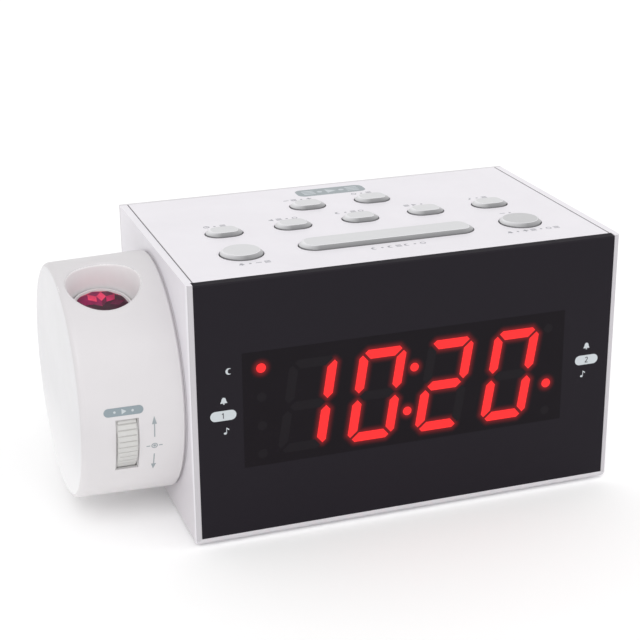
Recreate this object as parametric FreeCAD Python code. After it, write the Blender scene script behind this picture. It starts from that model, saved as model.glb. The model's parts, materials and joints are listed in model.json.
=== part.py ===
"""Projection alarm clock: a box with a lit display and a swivelling projector drum.

Millimetres, +Z up. The origin is on the surface the clock stands on, under the middle of
the whole outline, drum included. The display faces -Y and the drum is on the -X side.
"""
import FreeCAD, Part
import math
import os

V = FreeCAD.Vector
X_AXIS = V(1, 0, 0)
Y_AXIS = V(0, 1, 0)
Z_AXIS = V(0, 0, 1)

# Outer sizes of the case
body_width = 156.4
body_depth = 98.8
body_height = 93.5
foot_height = 1.2

# Case walls and the seams between the shells
wall = 2.8
floor_thickness = 2.8
rim = 2.2
case_edge_radius = 1.6
cover_thickness = 2.2
cover_edge_radius = 0.4
rear_thickness = 2.1
rear_edge_radius = 0.8
seam = 0.15
fit = 0.1

# Dark front panel
panel_thickness = 2.8
panel_top_drop = 0.4
panel_top_radius = 0.5
panel_clearance = 0.08

# Inner frame that carries the display
chassis_thickness = 2.0
window_shift = -1.2
window_bottom = 24.3
window_width = 118.2
window_height = 41.5
display_depth = 8.0
cell_depth = 1.2
cell_clearance = 0.03

# Display figures, from the lower left corner of the display window
digit_height = 33.4
digit_width = 17.1
stroke = 3.4
stroke_gap = 0.95
stroke_corner_shift = 0.6
middle_tip_gap = 2.4
middle_stroke_inset = 0.5
digit_slant = 8.9
digit_pitch = 25.0
first_digit = 22.6
digit_middle = 20.0
colon_radius = 1.6
colon_rise = 8.0
dot_radius = 1.7
left_dot_column = 6.5
right_dot_column = 111.9
dot_pitch = 10.4
top_dot_height = 35.5

# Circuit boards
board_thickness = 1.6
main_board_end_gap = 12.4
main_board_depth = 56.0
main_board_height = 20.0
main_board_back_gap = 0.6
key_board_end_gap = 7.4
key_board_depth = 62.0
key_board_drop = 8.0
key_board_inset = 4.5
post_radius = 3.0

# On the main board, from its left front corner: X, Y, length, width and height of the chips
# and the tuner can, and X, Y, radius and height of the capacitors
chips = ((25.1, 23.3, 18.0, 8.0, 2.2), (57.1, 29.3, 12.0, 8.0, 2.0),
         (51.1, 43.3, 10.0, 10.0, 1.8), (81.1, 13.3, 14.0, 10.0, 6.5))
cans = ((31.1, 45.3, 4.0, 9.0), (41.1, 47.3, 3.2, 7.5), (105.1, 19.3, 4.0, 8.5),
        (115.1, 21.3, 3.2, 7.5))
can_bevel = 0.5
header_from_left = 22.35
header_length = 8.0
header_width = 5.0
header_height = 6.0

# Keys on top; the places are measured from the middle of the front panel and its face
key_travel = 0.6
key_proud = 1.5
key_gap = 0.35
key_flange = 1.0
key_flange_thickness = 1.2
key_stem_radius = 2.2
key_bevel = 0.75
key_pitch = 25.6
small_key_length = 14.0
small_key_width = 10.4
round_key_diameter = 15.6
bar_key_length = 65.2
bar_key_width = 12.4
bar_key_stem_offset = 18.0
front_row = 25.8
middle_row = 50.0
back_row = 71.5
round_key_offset = 52.0

# Small push switches under the keys
switch_side = 6.0
switch_height = 3.4
switch_plunger_radius = 1.75
switch_plunger_height = 1.0
switch_free_play = 0.1

# Speaker and its grille in the back cover
speaker_radius = 25.0
speaker_depth = 19.0
speaker_shift = 12.15
speaker_height = 54.8
magnet_radius = 14.0
magnet_thickness = 9.0
cone_edge_radius = 20.5
cone_neck_radius = 7.0
cone_depth = 6.5
cone_thickness = 0.5
grille_slot_width = 2.0
grille_pitch = 4.6
grille_radius = 21.5

# Backup cells in the floor, and their door
cell_diameter = 10.4
cell_length = 44.5
cell_well_clearance = 0.5
contact_thickness = 0.4
battery_shift = 16.15
battery_y = 8.0
door_thickness = 1.8
door_margin = 3.0

# Power socket in the back cover
socket_from_left = 31.35
socket_width = 9.0
socket_height = 11.0
socket_length = 14.0
socket_bore = 6.0
socket_pin = 2.0
socket_bore_depth = 9.5

# Rubber feet
foot_radius = 5.0
foot_inset = 14.0
foot_seat = 0.8
foot_bevel = 0.4

# Screws
screw_shank_radius = 1.3
screw_head_radius = 2.5
screw_head_height = 1.7
screw_length = 8.0
screw_clearance = 0.05
screw_well_depth = 6.0
screw_well_floor = 1.6
corner_screw_inset = 8.6

# Projector drum; it turns about an X axis in the left wall
drum_radius = 42.0
drum_draft = 0.9
drum_length = 35.2
drum_gap = 0.5
drum_wall = 2.2
drum_outer_edge = 2.2
drum_inner_edge = 0.8
drum_from_front = 46.1
drum_height = 48.1
lens_lean = 19.3

# Hub that carries the drum in the left wall
hub_radius = 13.0
hub_bore = 8.5
hub_clearance = 0.06
hub_washer_radius = 17.0
hub_washer_thickness = 1.8
hub_screw_circle = 10.8
drum_plate_thickness = 2.4
felt_inner_radius = 14.0
felt_outer_radius = 24.0
felt_side_gap = 0.05

# Lens well in the drum, and the lens
lens_from_wall = 20.3
well_top_radius = 12.5
well_bottom_radius = 11.05
well_depth = 13.4
well_wall = 1.5
well_edge = 1.0
barrel_radius = 10.6
barrel_wall = 0.9
barrel_clearance = 0.08
barrel_bottom = 12.0
barrel_top = 29.8
lens_edge = 1.6
lens_bulge = 2.6
lens_seat_depth = 1.4

# Focus wheel with its pinion, and the rack on the lens barrel
wheel_radius = 16.0
wheel_width = 6.8
wheel_proud = 0.7
wheel_angle = 5.3
wheel_ribs = 48
wheel_rib_depth = 0.45
wheel_side_gap = 0.4
wheel_bevel = 0.4
slot_length = 20.9
slot_width = 7.8
pin_radius = 1.25
pin_clearance = 0.04
gear_module = 0.7
pinion_teeth = 14
pinion_width = 3.4
pressure_angle = 20.0
backlash = 0.12
rack_teeth = 13
rack_back = 1.8

# Light box behind the lens
light_box_width = 19.0
light_box_depth = 17.0
light_box_wall = 1.5
light_box_bottom = -14.0
light_box_top = 10.0
sleeve_bottom = 19.0
sleeve_top = 26.0
sleeve_wall = 1.6
condenser_radius = 6.9
condenser_height = -4.0
condenser_bulge = 3.0
film_height = 6.4
film_thickness = 1.6
led_radius = 2.5
led_height = 7.0
cradle_boss_radius = 3.0

# Places worked out from the sizes above
overall_width = body_width + drum_gap + drum_length
right = overall_width / 2
left = right - body_width
middle = (left + right) / 2
front = -body_depth / 2
back = body_depth / 2
base = foot_height
top = base + body_height
inner_left = left + wall
inner_right = right - wall
inner_floor = base + floor_thickness
cover_under = top - cover_thickness
rear_inside = back - rear_thickness
panel_back = front + panel_thickness
panel_left = left + rim
panel_bottom = base + rim
chassis_front = panel_back + fit
chassis_back = chassis_front + chassis_thickness
drum_y = front + drum_from_front
drum_z = base + drum_height
case_back = rear_inside - fit
speaker_x = middle + speaker_shift
speaker_z = base + speaker_height
battery_x = middle + battery_shift
socket_x = left + socket_from_left
main_board_x = (inner_left + main_board_end_gap, inner_right - main_board_end_gap)
key_board_x = (inner_left + key_board_end_gap, inner_right - key_board_end_gap)


def block(x_range, y_range, z_range):
    """A box between the given pairs of X, Y and Z."""
    size = (x_range[1] - x_range[0], y_range[1] - y_range[0], z_range[1] - z_range[0])
    return Part.makeBox(size[0], size[1], size[2], V(x_range[0], y_range[0], z_range[0]))


def rod(start, direction, radius, length):
    """A cylinder from a point along a direction."""
    return Part.makeCylinder(radius, length, V(*start), direction)


def tube(start, direction, outer, inner, length):
    """A ring-shaped bar: a cylinder with a coaxial hole."""
    return rod(start, direction, outer, length).cut(rod(start, direction, inner, length))


def fuse(pieces):
    """One shape from several that touch, without the seams between flat neighbours."""
    joined = pieces[0].multiFuse(pieces[1:]) if len(pieces) > 1 else pieces[0]
    return joined.removeSplitter()


def face_of(points):
    """A flat face inside a closed run of straight lines."""
    corners = [V(*point) for point in points]
    return Part.Face(Part.makePolygon(corners + corners[:1]))


def stadium(centre_x, centre_y, z, length, width, height):
    """An upright bar with half-round ends; a round one where length equals width."""
    radius = width / 2
    if length - width < 0.01:
        return rod((centre_x, centre_y, z), Z_AXIS, radius, height)
    reach = (length - width) / 2
    low = V(centre_x - reach, centre_y - radius, z)
    low_end = V(centre_x + reach, centre_y - radius, z)
    right_tip = V(centre_x + reach + radius, centre_y, z)
    high_end = V(centre_x + reach, centre_y + radius, z)
    high = V(centre_x - reach, centre_y + radius, z)
    left_tip = V(centre_x - reach - radius, centre_y, z)
    edges = [Part.makeLine(low, low_end), Part.Arc(low_end, right_tip, high_end).toShape()]
    edges += [Part.makeLine(high_end, high), Part.Arc(high, left_tip, low).toShape()]
    return Part.Face(Part.Wire(edges)).extrude(V(0, 0, height))


def round_edges(shape, radius, wanted):
    """Round the edges that the given test picks by their middle points."""
    picked = [edge for edge in shape.Edges if wanted(edge.CenterOfMass)]
    return shape.makeFillet(radius, picked)


def screw(seat, direction, length):
    """A pan head on the seat, with its shank running on along the direction."""
    back_way = V(direction).multiply(-1)
    head = rod(seat, back_way, screw_head_radius, screw_head_height)
    shank = rod(seat, direction, screw_shank_radius, length)
    return fuse([head, shank])


def shank_hole(start, direction, length):
    """The hole that a screw's shank runs in."""
    return rod(start, direction, screw_shank_radius + screw_clearance, length)


# Corner screws of the back cover

def corner_screw_places():
    """X and Z of the four screws that hold the back cover."""
    columns = (left + corner_screw_inset, right - corner_screw_inset)
    rows = (base + corner_screw_inset, top - 2 * corner_screw_inset)
    return [(x, z) for x in columns for z in rows]


corner_seat = back - screw_well_depth
corner_post_end = corner_seat - screw_well_floor
corner_post_length = screw_length + 2


# Ledges and screws that hold the top cover

ledge_depth = 11.0
ledge_reach = 8.0
ledge_thickness = 3.0
cover_boss_height = 5.0
ledge_top = cover_under - cover_boss_height - fit
cover_screw_inset = 4.5


def cover_screw_places():
    """X and Y of the four screws that hold the top cover."""
    columns = (inner_left + cover_screw_inset, inner_right - cover_screw_inset)
    rows = (front + 18.0, back - 28.0)
    return [(x, y) for x in columns for y in rows]


# Posts under the main board

main_board_back = rear_inside - main_board_back_gap
main_board_front = main_board_back - main_board_depth
main_board_z = inner_floor + main_board_height
main_board_inset = 4.5


def main_board_screw_places():
    """X and Y of the four posts that carry the main board."""
    columns = (main_board_x[0] + main_board_inset, main_board_x[1] - main_board_inset)
    rows = (main_board_front + main_board_inset, main_board_back - 2.5 * main_board_inset)
    return [(x, y) for x in columns for y in rows]


# Backup cell compartment in the floor

well_inner_length = cell_length + 2 * cell_well_clearance + 2 * contact_thickness
well_inner_width = 2 * cell_diameter + 3 * cell_well_clearance
well_inner_height = cell_diameter + cell_well_clearance
well_shell = 1.4
well_x = (battery_x - well_inner_length / 2, battery_x + well_inner_length / 2)
well_y = (battery_y - well_inner_width / 2, battery_y + well_inner_width / 2)
well_z = (base + door_thickness + fit, base + door_thickness + fit + well_inner_height)
door_x = (well_x[0] - door_margin, well_x[1] + door_margin + 6.0)
door_y = (well_y[0] - door_margin, well_y[1] + door_margin)
door_screw_x = well_x[1] + door_margin + 2.0
door_post_height = 10.0


def foot_places():
    """X and Y of the four feet."""
    columns = (left + foot_inset, right - foot_inset)
    rows = (front + foot_inset, back - foot_inset)
    return [(x, y) for x in columns for y in rows]


def make_housing():
    """The U-shaped tub: left wall, floor and right wall, with everything moulded inside it."""
    body = block((left, right), (front, case_back), (base, top))

    def outer_edge(point):
        low = abs(point.z - base) < 0.01
        side = abs(point.x - left) < 0.01 or abs(point.x - right) < 0.01
        at_front = abs(point.y - front) < 0.01
        return (low and side) or (at_front and (low or side))

    body = round_edges(body, case_edge_radius, outer_edge)
    hollow = block((inner_left, inner_right), (front - 1, back), (inner_floor, top + 1))
    rebate = block((panel_left, right - rim), (front - 1, panel_back + panel_clearance),
                   (panel_bottom, top + 1))
    added = []
    removed = []
    for x, z in corner_screw_places():
        start = corner_post_end - corner_post_length
        side = inner_left if x < middle else inner_right
        web = block((min(x, side), max(x, side)), (start, corner_post_end),
                    (z - 1.2, z + 1.2))
        added += [rod((x, start, z), Y_AXIS, post_radius + 0.6, corner_post_length), web]
        removed.append(shank_hole((x, start + 1, z), Y_AXIS, corner_post_length))
    for x, y in cover_screw_places():
        side = inner_left if x < middle else inner_right
        reach = side + ledge_reach if x < middle else side - ledge_reach
        added.append(block((min(side, reach), max(side, reach)),
                           (y - ledge_depth / 2, y + ledge_depth / 2),
                           (ledge_top - ledge_thickness, ledge_top)))
        removed.append(shank_hole((x, y, ledge_top - ledge_thickness - 1), Z_AXIS,
                                  ledge_thickness + 2))
    for x, y in main_board_screw_places():
        added.append(rod((x, y, inner_floor), Z_AXIS, post_radius, main_board_height))
        removed.append(shank_hole((x, y, main_board_z - screw_length), Z_AXIS, screw_length + 1))
    shell_x = (well_x[0] - well_shell, well_x[1] + well_shell)
    shell_y = (well_y[0] - well_shell, well_y[1] + well_shell)
    added.append(block(shell_x, shell_y, (inner_floor, well_z[1] + well_shell)))
    added.append(rod((door_screw_x, battery_y, inner_floor), Z_AXIS, post_radius,
                     door_post_height))
    for x in chassis_screw_columns():
        added.append(block((x - 4, x + 4), (chassis_back + fit, chassis_back + fit + 8),
                           (inner_floor, inner_floor + chassis_foot_height)))
        removed.append(shank_hole((x, chassis_back, inner_floor + chassis_foot_height / 2),
                                  Y_AXIS, 8))
    removed.append(block(well_x, well_y, (base - 1, well_z[1])))
    removed.append(block(door_x, door_y, (base - 1, base + door_thickness + fit)))
    removed.append(shank_hole((door_screw_x, battery_y, base), Z_AXIS, screw_length + 3))
    for x, y in foot_places():
        removed.append(rod((x, y, base - 1), Z_AXIS, foot_radius + fit, 1 + foot_seat))
    removed.append(rod((left - 1, drum_y, drum_z), X_AXIS, hub_radius + hub_clearance, wall + 2))
    return body.cut(hollow).cut(rebate).fuse(added).cut(removed).removeSplitter()


# Feet of the inner frame, screwed to blocks on the floor

chassis_foot_height = 9.0


def chassis_screw_columns():
    """X of the screws that hold the inner frame to the floor."""
    return (inner_left + 14, middle, inner_right - 14)


def make_top_cover():
    """The lid between the side walls, with the key openings and the posts under it."""
    x_range = (inner_left + seam, inner_right - seam)
    y_range = (panel_back + seam, case_back)
    cover = block(x_range, y_range, (cover_under, top))
    cover = round_edges(cover, cover_edge_radius, lambda point: abs(point.y - y_range[0]) < 0.01
                        and abs(point.z - top) < 0.01)
    added = []
    removed = []
    for x, y in cover_screw_places():
        added.append(rod((x, y, cover_under - cover_boss_height), Z_AXIS, post_radius,
                         cover_boss_height))
        removed.append(shank_hole((x, y, cover_under - cover_boss_height), Z_AXIS,
                                  cover_boss_height))
    for x, y in key_board_screw_places():
        added.append(rod((x, y, cover_under - key_board_drop), Z_AXIS, post_radius,
                         key_board_drop))
        removed.append(shank_hole((x, y, cover_under - key_board_drop), Z_AXIS,
                                  key_board_drop - 0.5))
    for name, x, y, length, width in keys():
        removed.append(stadium(x, y, cover_under - 1, length, width, cover_thickness + 2))
    return cover.fuse(added).cut(removed).removeSplitter()


def make_front_panel():
    """The dark sheet at the front; its top edge slopes up to the cover."""
    low = panel_bottom + panel_clearance
    outline = face_of([(0, front, low), (0, panel_back, low), (0, panel_back, top),
                       (0, front, top - panel_top_drop)])
    width = body_width - 2 * rim - 2 * panel_clearance
    panel = outline.extrude(V(width, 0, 0))
    panel.translate(V(panel_left + panel_clearance, 0, 0))
    return round_edges(panel, panel_top_radius, lambda point: abs(point.y - front) < 0.01
                       and point.z > top - panel_top_drop - 0.01)


window_left = middle + window_shift - window_width / 2
window_x = (window_left, window_left + window_width)
window_z = (panel_bottom + window_bottom, panel_bottom + window_bottom + window_height)
display_back = panel_back + fit + display_depth
display_board_margin = 4.0
display_boss_length = display_back - chassis_back


def display_screw_places():
    """X and Z of the four screws that hold the display board."""
    columns = (window_x[0] - display_board_margin, window_x[1] + display_board_margin)
    rows = (window_z[0] + 5, window_z[1] - 5)
    return [(x, z) for x in columns for z in rows]


def make_chassis():
    """The inner frame behind the front panel, with the display window in it."""
    x_range = (inner_left + fit, inner_right - fit)
    plate = block(x_range, (chassis_front, chassis_back), (inner_floor + fit, cover_under - fit))
    window = block((window_x[0] - fit, window_x[1] + fit), (front, chassis_back + 1),
                   (window_z[0] - fit, window_z[1] + fit))
    added = [rod((x, chassis_back, z), Y_AXIS, post_radius, display_boss_length)
             for x, z in display_screw_places()]
    removed = [shank_hole((x, chassis_back, z), Y_AXIS, display_boss_length)
               for x, z in display_screw_places()]
    removed += [shank_hole((x, front, inner_floor + chassis_foot_height / 2), Y_AXIS, 10)
                for x in chassis_screw_columns()]
    removed += [rod((x, chassis_front, inner_floor + chassis_foot_height / 2), Y_AXIS,
                    screw_head_radius + fit, screw_head_height - 0.4)
                for x in chassis_screw_columns()]
    return plate.cut(window).fuse(added).cut(removed).removeSplitter()


def make_rear_cover():
    """The back plate with screw wells, the speaker grille and the socket opening."""
    cover = block((left, right), (rear_inside, back), (base, top))
    cover = round_edges(cover, rear_edge_radius, lambda point: abs(point.y - back) < 0.01)
    added = []
    removed = []
    for x, z in corner_screw_places():
        well = screw_head_radius + 0.8
        added.append(rod((x, corner_post_end + fit, z), Y_AXIS, well + 1.4,
                         screw_well_depth + screw_well_floor - fit - rear_edge_radius))
        removed.append(rod((x, corner_seat, z), Y_AXIS, well, screw_well_depth + 1))
        removed.append(shank_hole((x, corner_post_end - 1, z), Y_AXIS, screw_well_floor + 2))
    rows = int(grille_radius / grille_pitch)
    for row in range(-rows, rows + 1):
        offset = row * grille_pitch
        half = math.sqrt(grille_radius ** 2 - offset ** 2)
        slot = stadium(speaker_x, speaker_z + offset, 0, 2 * half, grille_slot_width,
                       rear_thickness + 2)
        removed.append(upright(slot, speaker_z + offset))
    removed.append(rod((socket_x, rear_inside - 1, socket_z), Y_AXIS, socket_bore / 2 + 1.2,
                       rear_thickness + 2))
    ring = tube((speaker_x, rear_inside - 3, speaker_z), Y_AXIS, speaker_radius + 1.6,
                speaker_radius + fit, 3 + rear_thickness / 2)
    return cover.fuse(added + [ring]).cut(removed).removeSplitter()


def upright(flat_bar, height):
    """Turn a bar that lies in the XY plane so that it runs through the back cover."""
    bar = flat_bar.copy()
    bar.rotate(V(0, height, 0), X_AXIS, 90)
    bar.translate(V(0, back + 1 - height, height))
    return bar


def rubber_feet():
    """Four round feet in their seats in the floor."""
    feet = []
    for x, y in foot_places():
        foot = rod((x, y, 0), Z_AXIS, foot_radius, foot_height + foot_seat - 0.02)
        feet.append(foot.makeChamfer(foot_bevel, [edge for edge in foot.Edges
                                                  if abs(edge.CenterOfMass.z) < 0.01]))
    return Part.makeCompound(feet)


# Display: a dark block with a cell for each stroke and dot

def slanted(x, z, middle_x, middle_z):
    """Lean a point of an upright figure to the right about the figure's middle."""
    return x + middle_x + z * math.tan(math.radians(digit_slant)), z + middle_z


def stroke_outline(kind, inset):
    """Corners of one stroke of an upright figure about its middle, drawn in by the inset."""
    half = stroke / 2
    side = digit_width / 2 - half
    rise = digit_height / 2 - half
    shift = stroke_corner_shift
    gap = stroke_gap / math.sqrt(2)
    if kind in ("top", "bottom"):
        way = 1 if kind == "top" else -1
        tip = side + shift - gap
        corners = [(-tip, way * (rise + shift)), (-tip - shift + half, way * (rise + half)),
                   (tip + shift - half, way * (rise + half)), (tip, way * (rise + shift)),
                   (tip - shift - half, way * (rise - half)),
                   (-tip + shift + half, way * (rise - half))]
    elif kind == "middle":
        tip = side - middle_stroke_inset
        corners = [(-tip, 0), (-tip + half, half), (tip - half, half), (tip, 0),
                   (tip - half, -half), (-tip + half, -half)]
    else:
        way = 1 if "right" in kind else -1
        up = 1 if "upper" in kind else -1
        tip = rise + shift - gap
        low = middle_tip_gap / 2
        corners = [(way * (side + shift), up * tip), (way * (side + half), up * (tip + shift - half)),
                   (way * (side + half), up * (low + half)), (way * side, up * low),
                   (way * (side - half), up * (low + half)),
                   (way * (side - half), up * (tip - shift - half))]
    return drawn_in(corners, inset)


def drawn_in(corners, inset):
    """Move every side of a convex outline in by the inset."""
    moved = []
    for number, (x, z) in enumerate(corners):
        before = corners[number - 1]
        after = corners[(number + 1) % len(corners)]
        way_in = V(x - before[0], 0, z - before[1]).normalize()
        way_out = V(after[0] - x, 0, after[1] - z).normalize()
        inward = way_out - way_in
        share = inset / way_in.cross(way_out).Length
        moved.append((x + inward.x * share, z + inward.z * share))
    return moved


stroke_names = ("top", "middle", "bottom", "upper_left", "upper_right", "lower_left",
                "lower_right")
lit_strokes = {
    0: ("upper_right", "lower_right"),
    1: ("top", "bottom", "upper_left", "upper_right", "lower_left", "lower_right"),
    2: ("top", "middle", "bottom", "upper_right", "lower_left"),
    3: ("top", "bottom", "upper_left", "upper_right", "lower_left", "lower_right"),
}
display_front = panel_back + fit


def stroke_solid(place, kind, inset, depth):
    """One stroke of the figure at the given place, running back from the display's face."""
    middle_x = window_x[0] + first_digit + place * digit_pitch
    middle_z = window_z[0] + digit_middle
    points = [slanted(x, z, middle_x, middle_z) for x, z in stroke_outline(kind, inset)]
    return face_of([(x, display_front, z) for x, z in points]).extrude(V(0, depth, 0))


def dot_places():
    """X, Z, radius and whether it is lit, for the colon and the indicator dots."""
    colon_x = window_x[0] + first_digit + 1.5 * digit_pitch
    colon_z = window_z[0] + digit_middle
    dots = []
    for rise in (colon_rise, -colon_rise):
        x, z = slanted(0, rise, colon_x, colon_z)
        dots.append((x, z, colon_radius, True))
    for row in range(4):
        z = window_z[0] + top_dot_height - row * dot_pitch
        dots.append((window_x[0] + left_dot_column, z, dot_radius, row == 0))
        if row != 1:
            dots.append((window_x[0] + right_dot_column, z, dot_radius, row == 2))
    return dots


def make_display():
    """The display block with its cells, and the lit and unlit strokes in them."""
    body = block(window_x, (display_front, display_back), window_z)
    cells = []
    lit = []
    unlit = []
    for place in range(4):
        for kind in stroke_names:
            cells.append(stroke_solid(place, kind, 0, cell_depth))
            filler = stroke_solid(place, kind, cell_clearance, cell_depth - cell_clearance)
            shelf = lit if kind in lit_strokes[place] else unlit
            shelf.append(filler)
    for x, z, radius, is_lit in dot_places():
        cells.append(rod((x, display_front, z), Y_AXIS, radius, cell_depth))
        filler = rod((x, display_front, z), Y_AXIS, radius - cell_clearance,
                     cell_depth - cell_clearance)
        shelf = lit if is_lit else unlit
        shelf.append(filler)
    return body.cut(cells), Part.makeCompound(lit), Part.makeCompound(unlit)


def make_display_board():
    """The board behind the display block."""
    margin = display_board_margin + post_radius
    board = block((window_x[0] - margin, window_x[1] + margin),
                  (display_back + fit, display_back + fit + board_thickness), window_z)
    holes = [shank_hole((x, display_back, z), Y_AXIS, board_thickness + 1)
             for x, z in display_screw_places()]
    return board.cut(holes)


def make_display_screws():
    """Screws through the display board into the bosses of the inner frame."""
    seat = display_back + fit + board_thickness
    way = V(0, -1, 0)
    return Part.makeCompound([screw((x, seat + 0.02, z), way, display_boss_length)
                              for x, z in display_screw_places()])


def make_chassis_screws():
    """Screws through the feet of the inner frame into the floor blocks."""
    seat = chassis_front + screw_head_height - 0.4
    z = inner_floor + chassis_foot_height / 2
    screws = []
    for x in chassis_screw_columns():
        head = rod((x, chassis_front + 0.02, z), Y_AXIS, screw_head_radius, seat - chassis_front
                   - 0.04)
        shank = rod((x, seat - 0.1, z), Y_AXIS, screw_shank_radius, screw_length)
        screws.append(fuse([head, shank]))
    return Part.makeCompound(screws)


# Main board and what stands on it

socket_z = main_board_z + board_thickness + socket_height / 2


def make_main_board():
    """The flat board over the floor, on its four posts."""
    board = block(main_board_x, (main_board_front, main_board_back),
                  (main_board_z, main_board_z + board_thickness))
    holes = [shank_hole((x, y, main_board_z - 1), Z_AXIS, board_thickness + 2)
             for x, y in main_board_screw_places()]
    return board.cut(holes)


def make_board_parts():
    """Chips, capacitors, the tuner can and a lead header on the main board."""
    level = main_board_z + board_thickness
    start = main_board_x[0]
    parts = []
    for x, y, length, width, height in chips:
        parts.append(block((start + x, start + x + length),
                           (main_board_front + y, main_board_front + y + width),
                           (level, level + height)))
    for x, y, radius, height in cans:
        can = rod((start + x, main_board_front + y, level), Z_AXIS, radius, height)
        parts.append(can.makeChamfer(can_bevel, [edge for edge in can.Edges if
                                                 abs(edge.CenterOfMass.z - level - height) < 0.01]))
    parts.append(block(header_x, header_y, (level, level + header_height)))
    return Part.makeCompound(parts)


header_x = (left + header_from_left, left + header_from_left + header_length)
header_y = (drum_y - header_width / 2, drum_y + header_width / 2)


def make_main_screws():
    """Screws that hold the main board on its posts."""
    seat = main_board_z + board_thickness + 0.02
    way = V(0, 0, -1)
    return Part.makeCompound([screw((x, y, seat), way, screw_length)
                              for x, y in main_board_screw_places()])


def make_socket():
    """The round power socket: a block on the main board with a blind bore and a pin."""
    length = socket_length + main_board_back_gap
    y_range = (rear_inside - length, rear_inside - fit)
    x_range = (socket_x - socket_width / 2, socket_x + socket_width / 2)
    low = main_board_z + board_thickness
    body = block(x_range, y_range, (low, low + socket_height))
    nose = rod((socket_x, rear_inside - 1, socket_z), Y_AXIS, socket_bore / 2 + 1.0,
               1 + rear_thickness)
    bore = rod((socket_x, back - socket_bore_depth, socket_z), Y_AXIS, socket_bore / 2,
               socket_bore_depth + 1)
    pin = rod((socket_x, back - socket_bore_depth - 1, socket_z), Y_AXIS, socket_pin / 2,
              socket_bore_depth - 0.5)
    return body.fuse(nose).cut(bore).fuse(pin).removeSplitter()


# Speaker behind the grille

def make_speaker():
    """Basket, cone and magnet, each turned about the speaker's axis."""
    seat = rear_inside - fit
    flange = 1.2
    back_reach = speaker_depth - magnet_thickness
    magnet_seat = seat - back_reach

    def turned(points):
        profile = face_of([(radius, depth, 0) for radius, depth in points])
        solid = profile.revolve(V(0, 0, 0), Y_AXIS, 360)
        solid.translate(V(speaker_x, 0, speaker_z))
        return solid

    basket = turned([(cone_edge_radius + 0.6, seat), (speaker_radius, seat),
                     (speaker_radius, seat - flange), (cone_edge_radius + 2.2, seat - flange),
                     (magnet_radius, magnet_seat + 1.4), (magnet_radius, magnet_seat),
                     (cone_neck_radius, magnet_seat), (cone_neck_radius, magnet_seat + 1.4),
                     (magnet_radius - 1.4, magnet_seat + 1.4),
                     (cone_edge_radius + 0.6, seat - flange)])
    cone_seat = seat - 0.6
    cone = turned([(0, cone_seat - cone_depth), (cone_neck_radius, cone_seat - cone_depth),
                   (cone_edge_radius + 0.5, cone_seat - cone_thickness),
                   (cone_edge_radius + 0.5, cone_seat), (cone_edge_radius - 1.0, cone_seat),
                   (cone_neck_radius, cone_seat - cone_depth + cone_thickness * 1.6),
                   (0, cone_seat - cone_depth + 3.0)])
    magnet = rod((speaker_x, magnet_seat - magnet_thickness, speaker_z), Y_AXIS, magnet_radius,
                 magnet_thickness - 0.02)
    return basket, cone, magnet


# Backup cells

def make_cells():
    """Two cells side by side, each with its small end cap."""
    cells = []
    z = well_z[0] + cell_well_clearance / 2 + cell_diameter / 2
    start = well_x[0] + cell_well_clearance + contact_thickness
    for side, way in ((-1, 1), (1, -1)):
        y = battery_y + side * (cell_diameter + cell_well_clearance) / 2
        can_start = start if way > 0 else start + 1.0
        can = rod((can_start, y, z), X_AXIS, cell_diameter / 2, cell_length - 1.0)
        nub_start = start + cell_length - 1.0 if way > 0 else start
        nub = rod((nub_start, y, z), X_AXIS, 1.9, 1.0)
        cells.append(fuse([can, nub]))
    return Part.makeCompound(cells)


def make_contacts():
    """Four leaf contacts at the ends of the compartment."""
    leaves = []
    half = cell_diameter / 2 - 1.0
    for side in (-1, 1):
        y = battery_y + side * (cell_diameter + cell_well_clearance) / 2
        for x in (well_x[0] + 0.02, well_x[1] - contact_thickness - 0.02):
            leaves.append(block((x, x + contact_thickness), (y - half, y + half),
                                (well_z[0] + 1.5, well_z[1] - 0.5)))
    return Part.makeCompound(leaves)


def make_battery_door():
    """The flush door under the cells, held by one screw."""
    door = block((door_x[0] + fit, door_x[1] - fit), (door_y[0] + fit, door_y[1] - fit),
                 (base, base + door_thickness))
    head = rod((door_screw_x, battery_y, base - 1), Z_AXIS, screw_head_radius + fit,
               1 + door_screw_recess)
    grip = [block((door_x[0] + 4 + 2 * step, door_x[0] + 5 + 2 * step),
                  (battery_y - 6, battery_y + 6), (base - 1, base + 0.5)) for step in range(4)]
    shank = shank_hole((door_screw_x, battery_y, base), Z_AXIS, door_thickness + 1)
    return door.cut([head, shank] + grip)


door_screw_recess = 1.0


def make_door_screw():
    """The screw of the battery door, its head sunk flush."""
    head = rod((door_screw_x, battery_y, base + 0.05), Z_AXIS, screw_head_radius,
               door_screw_recess - 0.07)
    shank = rod((door_screw_x, battery_y, base + 0.5), Z_AXIS, screw_shank_radius, screw_length)
    return fuse([head, shank])


# Keys: name, X, Y, length and width of each opening in the cover

def keys():
    """Every key on top, from the two round ones at the front to the back pair."""
    centre = middle
    rows = [("snooze_bar", centre + 0.9, front + front_row, bar_key_length, bar_key_width)]
    for name, side in (("round_key_left", -1), ("round_key_right", 1)):
        rows.append((name, centre + side * round_key_offset, front + front_row,
                     round_key_diameter, round_key_diameter))
    for number in range(5):
        rows.append((f"row_key_{number + 1}", centre + (number - 2) * key_pitch,
                     front + middle_row, small_key_length, small_key_width))
    for name, side in (("back_key_left", -1), ("back_key_right", 1)):
        rows.append((name, centre + side * key_pitch / 2, front + back_row,
                     small_key_length, small_key_width))
    return rows


key_board_top = cover_under - key_board_drop
switch_top = key_board_top + switch_height + switch_plunger_height
stem_bottom = switch_top + key_travel + switch_free_play


def stem_places(x, length):
    """X of the stem or stems under a key."""
    if length > 2 * bar_key_stem_offset:
        return (x - bar_key_stem_offset, x + bar_key_stem_offset)
    return (x,)


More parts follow.
